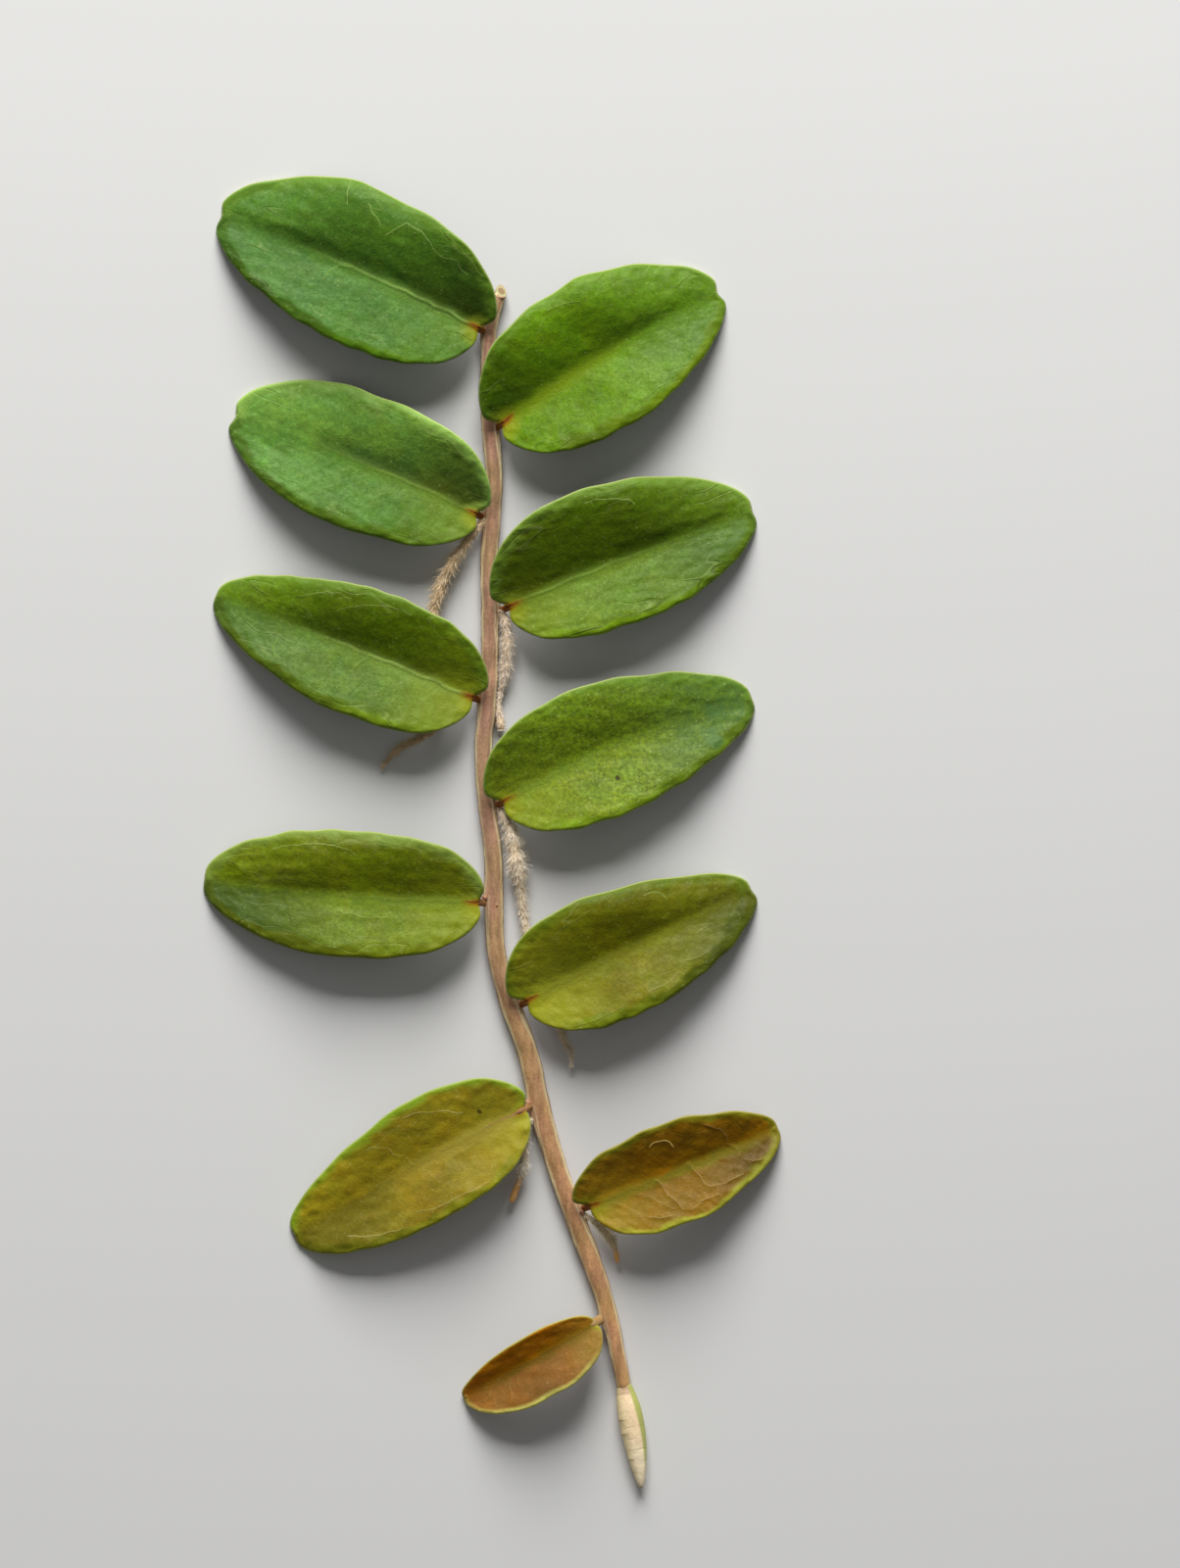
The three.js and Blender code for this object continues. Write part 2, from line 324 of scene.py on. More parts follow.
def ripple(a, b, wavelength, seed, waves=9):
    # smooth unevenness of about -1 to 1, a seeded sum of sine waves
    dice = np.random.default_rng(seed)
    total = np.zeros_like(a)
    for _ in range(waves):
        angle = dice.uniform(0, 2 * math.pi)
        size = wavelength * dice.uniform(0.7, 1.6)
        start = dice.uniform(0, 2 * math.pi)
        total += np.sin((a * math.cos(angle) + b * math.sin(angle)) * 2 * math.pi / size + start)
    return total / math.sqrt(waves)


def smoothPath(stations, count):
    # Catmull-Rom curve through rows of numbers, evenly sampled along its plan length
    rows = np.array(stations, dtype=float)
    ends = np.vstack([2 * rows[0] - rows[1], rows, 2 * rows[-1] - rows[-2]])
    fine = []
    for i in range(1, len(ends) - 2):
        for t in np.linspace(0, 1, 24, endpoint=False):
            a, b, c, d = ends[i - 1], ends[i], ends[i + 1], ends[i + 2]
            fine.append(0.5 * (2 * b + (c - a) * t + (2 * a - 5 * b + 4 * c - d) * t ** 2
                               + (3 * b - a - 3 * c + d) * t ** 3))
    fine.append(rows[-1])
    fine = np.array(fine)
    walked = walkedAlong(fine)
    spots = np.linspace(0, walked[-1], count)
    return np.column_stack([np.interp(spots, walked, fine[:, k]) for k in range(rows.shape[1])])


def extrudeTube(name, path, sides):
    # path rows: x, y, z, width, height; a ring at the first row is extruded from row to row
    clearSelection()
    bpy.ops.mesh.primitive_circle_add(
        vertices=sides, radius=0.5, fill_type='NGON', rotation=(math.pi / 2, 0, 0)
    )
    tube = bpy.context.object
    tube.name = name
    bpy.ops.object.transform_apply(location=False, rotation=True, scale=False)
    ahead = np.gradient(path[:, :2], axis=0)
    bearing = np.unwrap(np.arctan2(ahead[:, 0], -ahead[:, 1]))
    editAll()
    bpy.ops.transform.translate(value=tuple(path[0, :3]))
    centre = tuple(path[0, :3])
    bpy.ops.transform.resize(value=(path[0, 3], path[0, 3], path[0, 4]), center_override=centre)
    bpy.ops.transform.rotate(value=-bearing[0], orient_axis='Z', center_override=centre)
    for i in range(1, len(path)):
        centre = tuple(path[i, :3])
        move = tuple(path[i, :3] - path[i - 1, :3])
        bpy.ops.mesh.extrude_region_move(TRANSFORM_OT_translate={"value": move})
        wider = path[i, 3] / path[i - 1, 3]
        taller = path[i, 4] / path[i - 1, 4]
        bpy.ops.transform.resize(value=(wider, wider, taller), center_override=centre)
        bpy.ops.transform.rotate(
            value=bearing[i - 1] - bearing[i], orient_axis='Z', center_override=centre
        )
    bpy.ops.mesh.select_all(action='SELECT')
    bpy.ops.mesh.normals_make_consistent(inside=False)
    bpy.ops.object.mode_set(mode='OBJECT')
    return tube


def smoothTube(tube, levels):
    selectOnly(tube)
    finer = tube.modifiers.new("finer", 'SUBSURF')
    finer.levels = finer.render_levels = levels
    bpy.ops.object.modifier_apply(modifier="finer")
    bpy.ops.object.shade_smooth()


def tubeCoordinates(places, path):
    # how far along the path each point is, its step to the right seen from above, its height over
    # the path, the nearest path row and the direction to the right there
    tree = KDTree(len(path))
    for i, row in enumerate(path):
        tree.insert((row[0], row[1], 0), i)
    tree.balance()
    near = np.array([tree.find((x, y, 0))[1] for x, y, _ in places])
    ahead = np.gradient(path[:, :2], axis=0)
    ahead = ahead / np.hypot(*ahead.T)[:, None]
    rightSide = np.column_stack([-ahead[:, 1], ahead[:, 0]])
    walked = walkedAlong(path)
    offset = places[:, :2] - path[near, :2]
    forward = (offset * ahead[near]).sum(axis=1)
    aside = (offset * rightSide[near]).sum(axis=1)
    return walked[near] + forward, aside, places[:, 2] - path[near, 2], near, rightSide[near]


def finishPiece(piece, node, others=()):
    # the piece and what grew on it as one mesh in metres, in the place of its node
    if others:
        selectOnly(piece, *others)
        bpy.ops.object.join()
    setPlaces(piece.data, vertexPlaces(piece.data) * mm)
    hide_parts(node)
    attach(piece, "root")


# leaves

leafBuild = {
    "segments": 176,
    "rings": 140,
    "endCrowding": 0.75,  # rings closer together at base and tip
    "sideCrowding": 0.7,  # columns closer together at midrib and margin
    "ribThickness": 0.5,
    "rimThickness": 0.38,
    "rimRadius": 0.24,
    "baseHeight": 1.65,
    "tipHeight": 0.4,
    "baseSinus": 0.034,
    "tipNotch": 0.035,
    "rollPower": (3.5, 2.2),  # how late the upper half curls over, at base and tip
    "lipWidth": 0.85,
    "creaseAtBase": 0.5,
    "veinSlant": 0.75,
    "veinSpacing": 2.05,
    "veinWidth": 0.17,
    "ribLine": (0.03, 0.03, 0.13),  # rise, place above the midrib and width of the fine line
    "ridge": (0.04, 0.4),  # rise and width of the soft swelling under it
    "groove": (0.03, 0.17, 0.09),  # depth, place below the midrib and width
    "crookedness": 0.055,
    "valleyWidth": 0.7,
    "markWidth": 0.13,
    "lowest": 0.02,
    "shortBlade": 12,  # a blade under this length gets fewer faces
    "shortSegments": 120,
    "shortRings": 90,
}

# base x and y, aim, length, bow, arch, fold, then for the upper and lower margin:
# width, where it is widest, roundness at base and tip, lobe and overshoot
leafShapes = {
    "leaf_left_1": (-0.81, 34.29, 156.4, 19.18, 0.32, 1.3, 0.48,
                    (5.95, 0.58, 2.6, 1.36, 1.0, 0.55), (4.75, 0.5, 3.2, 1.42, 0.3, 0.3)),
    "leaf_right_1": (0.73, 27.8, 31.3, 17.2, 0.45, 1.05, 0.5,
                     (5.85, 0.54, 3.0, 1.35, 1.0, 0.5), (4.65, 0.52, 2.9, 1.3, 0.5, 0.4)),
    "leaf_left_2": (-0.99, 21.67, 157.9, 17.72, 0.3, 1.1, 0.44,
                    (5.0, 0.575, 3.4, 1.7, 0.8, 0.5), (4.3, 0.58, 3.0, 1.5, 0.5, 0.45)),
    "leaf_right_2": (1.24, 15.37, 21.5, 17.8, 0.18, 1.3, 0.49,
                     (5.65, 0.42, 2.6, 1.5, 1.1, 0.3), (4.2, 0.56, 3.2, 1.4, 0.4, 0.25)),
    "leaf_left_3": (-1.2, 9.2, 158.4, 18.9, 0.1, 1.4, 0.45,
                    (4.5, 0.43, 2.95, 1.3, 0.9, 0.2), (4.36, 0.51, 3.2, 1.18, 0.3, 0.2)),
    "leaf_right_3": (0.8, 2.04, 22.7, 18.4, 0.58, 1.15, 0.46,
                     (5.25, 0.44, 2.8, 1.3, 1.1, 0.2), (3.95, 0.42, 2.3, 1.5, 0.3, 0.2)),
    "leaf_left_4": (-0.84, -4.73, 175.1, 18.76, -0.3, 1.0, 0.43,
                    (4.13, 0.48, 3.4, 1.9, 0.5, 0.15), (4.48, 0.585, 3.0, 1.35, 0.4, 0.25)),
    "leaf_right_4": (2.42, -11.5, 26.5, 17.1, 0.2, 1.35, 0.45,
                     (4.72, 0.36, 3.0, 1.15, 1.1, 0.25), (4.18, 0.45, 2.4, 1.5, 0.3, 0.35)),
    "leaf_left_5": (2.33, -18.73, 208.6, 18.0, 0.15, 1.15, 0.46,
                    (4.29, 0.4, 2.4, 1.22, 0.7, 0.2), (4.0, 0.505, 2.7, 1.9, 0.1, 0.3)),
    "leaf_right_5": (6.67, -25.4, 22.4, 13.9, -0.05, 1.0, 0.52,
                     (3.4, 0.49, 3.1, 1.35, 1.1, 0.15), (3.59, 0.5, 2.8, 1.35, 0.1, 0.15)),
    "leaf_left_6": (7.11, -33.3, 209.8, 10.4, 0.0, 0.85, 0.62,
                    (1.6, 0.55, 3.2, 1.4, 0.1, 0.12), (2.86, 0.52, 3.2, 1.95, 0.2, 0.12)),
}

# finish and small relief of each leaf; colours are linear
plainLook = {
    "slot": "green_leaf", "seed": 1, "petiole": "red", "petioleWidth": 0.52,
    # shares of the fold that the upper half keeps at base, middle and tip, and the lower half's one
    "upperFold": (1.05, 0.85, -0.1), "lowerFold": 0.8, "creaseAtTip": 0.8, "valley": 0.12,
    "roll": 0.6, "lip": 0.3, "lipReach": 1.0, "crenate": (0.05, 0.06), "waves": 0.06,
    "puckers": 0.026, "veinRise": -0.012, "veinWander": 0.25, "ridge": 1.0,
    # strength, width and reach of the markings, and of the painted sheen, shade and highlight among them
    "veins": 0.25, "net": 0.1, "rib": 0.6, "ribReach": 0.6, "glow": 0.3, "glowWidth": 0.8,
    "rim": 0.5, "rimWidth": 1.0, "band": 0.9, "bandWidth": 0.8, "bandBase": 1.3, "bandTip": 0.85,
    "bandSoft": 0.65, "ragged": 1.0, "lowerEdge": 0.25, "flush": 0.8, "streak": 0.36, "haze": 0.5,
    "hazeUpper": 0.35, "groove": 0.15, "markRise": (0.012, 0.02), "upperBase": 1.0,
    "petioleLift": 0.0, "scarring": 0.8, "flecks": 0.35, "wrinkles": 0.5, "grain": 1.0,
    "deep": 0.3, "deepEnd": 0.95, "baseLight": 0.3, "upperTip": 1.1, "lowerTip": 0.85,
    # each half's body colour also holds painted shade and painted sheen for how that half faces the lamp
    "upperBody": (0.1, 0.17, 0.003), "lowerBody": (0.1, 0.17, 0.005), "baseTint": (0.25, 0.28, 0.012),
    "hazeTint": (0.065, 0.15, 0.035), "ribTint": (0.22, 0.34, 0.05), "veinTint": (0.21, 0.34, 0.05),
    "rimTint": (0.14, 0.26, 0.02), "bandTint": (0.085, 0.13, 0.004), "outline": (0.36, 0.42, 0.14),
    "scarTint": (0.32, 0.43, 0.11), "flushTint": (0.19, 0.05, 0.006),
}
leafLooks = {
    "leaf_left_1": {
        "seed": 11, "upperFold": (1.15, 0.85, -0.15), "valley": 0.2, "roll": 0.78,
        "crenate": (0.06, 0.08), "ridge": 2.0, "rib": 1.0, "bandWidth": 0.9, "bandBase": 1.45,
        "bandTip": 0.75, "groove": 0.6, "upperBase": 0.65, "scarring": 0.9, "wrinkles": 0.75, "deep": 0.4,
        "baseLight": 0.1, "lowerTip": 1.0,
        "upperBody": (0.06, 0.152, 0.011), "lowerBody": (0.059, 0.157, 0.018),
        "ribTint": (0.22, 0.36, 0.07), "bandTint": (0.052, 0.115, 0.001),
    },
    "leaf_right_1": {
        "seed": 12, "valley": 0.24, "roll": 0.66, "ridge": 0.8, "rib": 0.15, "glow": 0.9,
        "glowWidth": 0.9, "bandWidth": 1.0, "bandBase": 1.1, "bandTip": 1.35, "haze": 0.6,
        "upperBase": 0.6, "scarring": 0.4, "baseLight": 0.0, "upperTip": 0.9,
        "upperBody": (0.096, 0.205, 0.002), "lowerBody": (0.097, 0.205, 0.002),
        "ribTint": (0.155, 0.23, 0.004), "bandTint": (0.085, 0.137, 0.0008),
    },
    "leaf_left_2": {
        "seed": 13, "upperFold": (1.0, 0.55, -0.35), "creaseAtTip": 1.3, "valley": 0.0, "roll": 0.78,
        "lipReach": 1.15, "ridge": 1.2, "rim": 0.9, "band": 0.8, "bandBase": 1.05, "bandTip": 0.75,
        "flush": 0.65, "upperBase": 0.7, "deep": 0.55, "deepEnd": 0.75, "upperTip": 1.3, "lowerTip": 1.25,
        "upperBody": (0.093, 0.205, 0.025), "lowerBody": (0.075, 0.179, 0.019),
        "rimTint": (0.24, 0.41, 0.07), "bandTint": (0.075, 0.135, 0.003), "outline": (0.42, 0.52, 0.16),
    },
    "leaf_right_2": {
        "seed": 14, "upperFold": (1.15, 1.0, -0.1), "valley": 0.28, "roll": 0.52, "ridge": 1.8,
        "rib": 0.8, "rim": 0.7, "bandBase": 1.35, "bandTip": 0.72, "upperBase": 1.1, "wrinkles": 0.9,
        "deep": 0.1, "upperTip": 1.25, "lowerTip": 0.75,
        "upperBody": (0.06, 0.112, 0.0002), "lowerBody": (0.097, 0.178, 0.0105),
        "rimTint": (0.165, 0.285, 0.03), "bandTint": (0.12, 0.21, 0.003),
    },
    "leaf_left_3": {
        "seed": 15, "roll": 0.52, "lipReach": 1.2, "ridge": 0.0, "veins": 0.35, "rib": 1.0,
        "bandBase": 1.5, "bandTip": 0.7, "lowerEdge": 0.35, "upperBase": 1.6, "scarring": 0.5,
        "wrinkles": 0.7, "baseLight": 0.5, "upperTip": 1.5,
        "upperBody": (0.071, 0.127, 0.0002), "lowerBody": (0.094, 0.176, 0.018),
        "ribTint": (0.3, 0.43, 0.09), "bandTint": (0.093, 0.146, 0.003),
    },
    "leaf_right_3": {
        "seed": 16, "upperFold": (0.9, 0.65, 0.05), "roll": 0.4, "rib": 0.15, "bandBase": 1.65,
        "bandTip": 0.95, "lowerEdge": 0.55, "haze": 1.1, "hazeUpper": 0.75, "flecks": 0.65,
        "wrinkles": 0.35, "grain": 1.9, "deep": 0.0, "baseLight": 0.5, "upperTip": 0.95, "lowerTip": 0.8,
        "upperBody": (0.121, 0.201, 0.007), "lowerBody": (0.137, 0.209, 0.011),
        "bandTint": (0.11, 0.175, 0.005),
    },
    "leaf_left_4": {
        "seed": 17, "petiole": "tan", "upperFold": (0.9, 0.85, 0.55), "creaseAtTip": 1.4, "valley": 0.24,
        "roll": 0.78, "lipReach": 1.35, "rib": 0.3, "rim": 0.7, "bandBase": 1.12, "bandTip": 0.7,
        "groove": 0.1, "wrinkles": 0.6, "deep": 0.0, "deepEnd": 1.3, "baseLight": 0.5, "upperTip": 1.42,
        "lowerTip": 0.43,
        "upperBody": (0.109, 0.149, 0.0006), "lowerBody": (0.126, 0.189, 0.009),
        "veinTint": (0.26, 0.34, 0.06), "rimTint": (0.21, 0.31, 0.05), "bandTint": (0.13, 0.16, 0.002),
    },
    "leaf_right_4": {
        "slot": "olive_leaf", "seed": 18, "upperFold": (0.9, 0.85, -0.1), "valley": 0.24, "roll": 0.7,
        "lipReach": 1.3, "ridge": 1.1, "rib": 0.2, "glow": 0.5, "bandWidth": 1.1, "bandBase": 1.7,
        "bandTip": 0.76, "haze": 0.4, "upperBase": 1.2, "grain": 0.8, "deep": -0.15, "baseLight": 0.75,
        "lowerTip": 0.79,
        "upperBody": (0.103, 0.112, 0.0002), "lowerBody": (0.146, 0.151, 0.005),
        "baseTint": (0.31, 0.32, 0.018), "ribTint": (0.21, 0.22, 0.02), "veinTint": (0.27, 0.26, 0.07),
        "rimTint": (0.095, 0.19, 0.006), "bandTint": (0.078, 0.1, 0.002),
    },
    "leaf_left_5": {
        "slot": "olive_leaf", "seed": 19, "petiole": "tan", "petioleWidth": 0.58,
        "upperFold": (0.25, 0.25, 0.0), "creaseAtTip": 1.4, "valley": 0.05, "roll": 0.9, "lip": 0.2,
        "lipReach": 1.35, "veinRise": 0.02, "ridge": 0.8, "veins": 0.3, "net": 0.2, "rib": 0.1,
        "glow": 0.85, "glowWidth": 0.9, "rim": 0.9, "rimWidth": 0.75, "bandBase": 1.0, "bandTip": 0.75,
        "lowerEdge": 0.6, "flush": 0.75, "streak": 0.13, "haze": 0.35, "groove": 0.0, "upperBase": 0.75,
        "petioleLift": 0.08, "wrinkles": 0.35, "grain": 0.6, "deep": -0.15, "baseLight": 0.6,
        "upperTip": 1.35, "lowerTip": 0.7,
        "upperBody": (0.205, 0.168, 0.005), "lowerBody": (0.228, 0.18, 0.012),
        "baseTint": (0.34, 0.31, 0.017), "hazeTint": (0.15, 0.2, 0.012), "ribTint": (0.36, 0.29, 0.04),
        "veinTint": (0.36, 0.32, 0.08), "rimTint": (0.19, 0.31, 0.012), "bandTint": (0.205, 0.21, 0.006),
        "scarTint": (0.46, 0.42, 0.14), "flushTint": (0.36, 0.2, 0.075),
    },
    "leaf_right_5": {
        "slot": "bronze_leaf", "seed": 20, "upperFold": (1.0, 0.95, 0.85), "creaseAtTip": 0.4,
        "valley": 0.18, "roll": 0.2, "lip": 0.1, "veinRise": 0.03, "veinWander": 0.3, "ridge": 1.2,
        "veins": 0.4, "net": 0.15, "rib": 0.1, "ribReach": 0.95, "glow": 0.85, "glowWidth": 0.55,
        "rim": 0.85, "rimWidth": 0.6, "bandWidth": 0.68, "bandBase": 1.35, "bandTip": 0.8,
        "bandSoft": 0.3, "haze": 0.0, "markRise": (0.02, 0.05), "upperBase": 1.3, "scarring": 2.0,
        "wrinkles": 0.3, "grain": 0.5, "deep": -0.5, "deepEnd": 1.3, "baseLight": 0.5, "upperTip": 1.25,
        "lowerTip": 0.62,
        "upperBody": (0.19, 0.097, 0.0004), "lowerBody": (0.19, 0.108, 0.004),
        "baseTint": (0.36, 0.26, 0.02), "ribTint": (0.22, 0.2, 0.015), "veinTint": (0.38, 0.26, 0.1),
        "rimTint": (0.17, 0.18, 0.006), "bandTint": (0.34, 0.35, 0.03), "outline": (0.34, 0.3, 0.07),
        "scarTint": (1.0, 0.7, 0.2),
    },
    "leaf_left_6": {
        "slot": "bronze_leaf", "seed": 21, "petiole": "olive", "petioleWidth": 0.7,
        "upperFold": (1.0, 0.9, 0.8), "creaseAtTip": 0.3, "roll": 0.15, "lip": 0.05,
        "crenate": (0.02, 0.03), "veinRise": 0.02, "ridge": -0.4, "veins": 0.7, "rib": 0.1,
        "ribReach": 0.95, "glow": 0.7, "glowWidth": 0.55, "rimWidth": 0.22, "bandWidth": 0.46,
        "bandBase": 1.05, "bandTip": 1.25, "bandSoft": 0.25, "ragged": 0.4, "lowerEdge": 0.5,
        "flush": 0.3, "haze": 0.0, "upperBase": 1.2, "petioleLift": -0.12, "wrinkles": 0.2, "grain": 0.4,
        "deep": 0.0, "baseLight": 0.5, "lowerTip": 1.2,
        "upperBody": (0.388, 0.146, 0.0001), "lowerBody": (0.204, 0.096, 0.018),
        "baseTint": (0.36, 0.23, 0.03), "ribTint": (0.145, 0.096, 0.0003), "veinTint": (0.36, 0.22, 0.06),
        "rimTint": (0.16, 0.12, 0.004), "bandTint": (0.43, 0.4, 0.09), "outline": (0.44, 0.42, 0.1),
    },
}

# scratches, side veins and dark spots that stand out on single leaves, as broken lines in mm
leafMarks = {
    "leaf_left_1": {
        "scar": (
            ((-7.09, 40.59), (-5.77, 41.41), (-5.13, 41.07), (-4.43, 40.49), (-4.0, 39.73),
             (-3.39, 39.13), (-2.53, 38.93), (-2.0, 38.27), (-1.59, 37.93)),
            ((-9.62, 44.37), (-9.71, 43.87), (-9.73, 43.27), (-9.77, 42.77)),
            ((-8.33, 42.6), (-7.87, 42.0), (-7.53, 41.27)),
        ),
        "branch": (
            ((-11.47, 37.55), (-10.99, 38.21), (-10.23, 38.63), (-9.6, 38.47)),
        ),
    },
    "leaf_right_1": {
        "scar": (
            ((3.93, 35.47), (4.93, 35.93), (6.07, 36.07)),
        ),
    },
    "leaf_right_2": {
        "scar": (
            ((6.54, 22.45), (7.0, 22.6), (7.53, 22.54), (8.13, 22.67), (8.81, 22.68), (9.27, 22.6),
             (9.69, 22.35)),
        ),
        "branch": (
            ((6.07, 14.4), (6.6, 14.87), (7.0, 15.47)),
        ),
    },
    "leaf_right_3": {
        "spot": (
            ((8.56, 3.8), (8.66, 3.68)),
        ),
    },
    "leaf_left_3": {
        "scar": (
            ((-10.38, 15.11), (-9.53, 15.33), (-8.35, 15.41), (-7.53, 15.4), (-6.72, 15.31),
             (-6.07, 15.13), (-5.5, 14.81)),
            ((-13.03, 16.13), (-12.2, 16.23), (-11.19, 16.43), (-10.33, 16.27), (-9.57, 15.92)),
        ),
        "branch": (
            ((-9.57, 10.94), (-8.96, 11.55), (-8.27, 12.03)),
            ((-14.53, 13.2), (-14.8, 12.6), (-14.67, 12.0)),
        ),
    },
    "leaf_left_4": {
        "scar": (
            ((-14.73, -1.07), (-13.4, -0.8), (-11.93, -0.73), (-10.33, -0.93), (-9.27, -1.33)),
        ),
        "branch": (
            ((-11.07, -5.0), (-9.93, -5.4), (-8.6, -5.73), (-7.07, -5.73)),
        ),
    },
    "leaf_right_4": {
        "scar": (
            ((10.44, -4.24), (10.87, -4.03), (11.28, -4.01), (11.67, -4.13), (11.93, -4.43)),
        ),
        "branch": (
            ((12.96, -8.72), (13.53, -8.63), (14.08, -8.44), (14.64, -8.16)),
            ((10.67, -10.8), (11.4, -10.47), (12.2, -10.07), (12.6, -9.6)),
        ),
    },
    "leaf_left_5": {
        "scar": (
            ((-9.63, -27.41), (-8.93, -27.47), (-8.22, -27.41), (-7.6, -27.27), (-6.98, -27.15),
             (-6.1, -26.89)),
            ((-5.04, -25.73), (-3.8, -25.47), (-3.0, -25.13), (-2.21, -24.67), (-0.97, -24.15),
             (-0.09, -23.61)),
            ((-5.92, -19.37), (-5.27, -19.07), (-4.51, -18.93), (-3.27, -18.93), (-2.03, -19.02)),
        ),
        "spot": (
            ((-0.84, -18.9), (-0.74, -18.98)),
        ),
        "branch": (
            ((-8.31, -21.49), (-7.8, -21.37), (-7.33, -21.41), (-6.63, -21.76), (-5.75, -22.2),
             (-5.33, -22.47)),
        ),
    },
    "leaf_right_5": {
        "scar": (
            ((10.76, -21.3), (10.92, -21.12), (11.12, -20.99), (11.6, -20.92), (12.08, -21.03),
             (12.36, -21.25)),
        ),
        "branch": (
            ((11.27, -23.67), (11.77, -24.08), (12.27, -24.67), (12.77, -25.17), (13.02, -25.5)),
            ((13.77, -25.45), (14.43, -24.92), (15.43, -24.5)),
            ((13.43, -22.53), (13.93, -23.08), (14.5, -23.72), (15.02, -23.98), (15.6, -23.92),
             (16.27, -23.58), (17.1, -23.17)),
            ((16.18, -21.25), (16.77, -21.58), (17.27, -22.1), (17.77, -22.33), (18.27, -22.25)),
            ((10.77, -26.0), (11.43, -26.17), (12.27, -25.92)),
            ((14.6, -19.83), (15.6, -20.08), (16.02, -20.67), (16.1, -21.2)),
        ),
    },
}

# values and colours of a look, and places on the blade, that the leaf skin reads
leafValues = (
    "veins", "net", "rib", "ribReach", "glow", "glowWidth", "rim", "rimWidth", "band", "bandWidth",
    "bandBase", "bandTip", "groove", "bandSoft", "ragged", "lowerEdge", "streak", "hazeUpper",
    "upperBase", "flush", "haze", "scarring", "flecks", "wrinkles", "grain", "deep", "deepEnd",
    "baseLight", "upperTip", "lowerTip",
)
leafColours = (
    "upperBody", "lowerBody", "baseTint", "hazeTint", "ribTint", "veinTint", "rimTint", "bandTint",
    "outline", "scarTint", "flushTint",
)
leafPlaces = (
    "along", "aside", "edge", "phase", "under", "scar", "scarside", "branch", "branchside", "spot",
)


def marginLine(share, length, profile):
    # along and breadth of one margin; share runs from 0 at the base to 1 at the tip
    width, widest, baseRound, tipRound, lobe, overshoot = profile
    reach = np.abs(1 - 2 * share)
    nearBase = share < 0.5
    breadth = width * np.sqrt(np.clip(1 - reach ** np.where(nearBase, baseRound, tipRound), 0, 1))
    peak = widest * length
    sinus = lobe * np.exp(-(breadth / (leafBuild["baseSinus"] * length)) ** 2)
    notch = overshoot * np.exp(-(breadth / (leafBuild["tipNotch"] * length)) ** 2)
    toBase = peak - (peak + lobe) * reach + sinus
    toTip = peak + (length + overshoot - peak) * reach - notch
    return np.where(nearBase, toBase, toTip), breadth


def wavyMargin(share, length, profile, look, side):
    along, breadth = marginLine(share, length, profile)
    calm = softStep(0, 0.12, share) * softStep(1, 0.9, share)
    wave = ripple(along, along * 0, 2.6, look["seed"] * 10 + side, 5)
    return along, breadth + look["crenate"][side - 1] * calm * wave


def outlineDistance(along, across, length, upper, lower, look):
    # how far each point lies from the margin
    fine = np.linspace(0, 1, 1200)
    fine = 0.3 * fine + 0.7 * (1 - np.cos(math.pi * fine)) / 2
    tree = KDTree(2 * len(fine))
    for side, profile in ((1, upper), (2, lower)):
        for i, (a, b) in enumerate(zip(*wavyMargin(fine, length, profile, look, side))):
            tree.insert((a, b if side == 1 else -b, 0), i)
    tree.balance()
    return np.array([tree.find((a, b, 0))[2] for a, b in zip(along, across)])


def lineDistance(x, y, lines):
    # how far each point lies from the nearest of some broken lines, and how far to the left of it
    nearest = np.full_like(x, 9.0)
    leftward = np.full_like(x, 9.0)
    for line in lines:
        for (ax, ay), (bx, by) in zip(line, line[1:]):
            wayX, wayY = bx - ax, by - ay
            t = np.clip(((x - ax) * wayX + (y - ay) * wayY) / (wayX ** 2 + wayY ** 2), 0, 1)
            distance = np.hypot(x - ax - t * wayX, y - ay - t * wayY)
            offset = ((y - ay) * wayX - (x - ax) * wayY) / math.hypot(wayX, wayY)
            leftward = np.where(distance < nearest, offset, leftward)
            nearest = np.minimum(nearest, distance)
    return nearest, leftward


def foldedTop(s, d, spread, edge, isUpper, arch, fold, look):
    # an arched blade whose halves rise from a soft crease and curl over at the margins
    drop = leafBuild["baseHeight"] + arch - leafBuild["tipHeight"]
    top = leafBuild["baseHeight"] + arch * s - drop * s * s
    crease = leafBuild["creaseAtBase"]
    crease = crease + (look["creaseAtTip"] - crease) * softStep(0.3, 0.95, s)
    rise = np.sqrt(d * d + crease * crease) - crease
    atBase, atMiddle, atTip = look["upperFold"]
    upperFold = atBase + (atMiddle - atBase) * softStep(0.05, 0.45, s)
    upperFold = upperFold + (atTip - atMiddle) * softStep(0.5, 0.95, s)
    out = d / np.maximum(spread, 1e-6)
    towardsTip = softStep(0.55, 0.95, s)
    early, late = leafBuild["rollPower"]
    roll = look["roll"] * (0.4 + 0.6 * softStep(0.1, 0.5, s)) * (1 - 0.6 * towardsTip)
    roll = roll * spread * out ** (early + (late - early) * towardsTip)
    valley = look["valley"] * softStep(0.35, 0.65, s) * softStep(1.0, 0.85, s)
    valley = valley * (1 - np.exp(-(d / leafBuild["valleyWidth"]) ** 2))
    upperTop = fold * (upperFold * rise - atMiddle * roll) + valley
    unevenLip = 1 + 0.3 * ripple(s * 18, s * 0, 2.4, look["seed"] + 50, 4)
    lipWidth = leafBuild["lipWidth"] * look["lipReach"] * unevenLip
    curl = np.clip(1 - edge / lipWidth, 0, 1) ** 2 * softStep(0.0, 1.0, d) * softStep(0.02, 0.3, s)
    lowerTop = fold * look["lowerFold"] * rise - look["lip"] * curl
    return top + np.where(isUpper, upperTop, lowerTop)


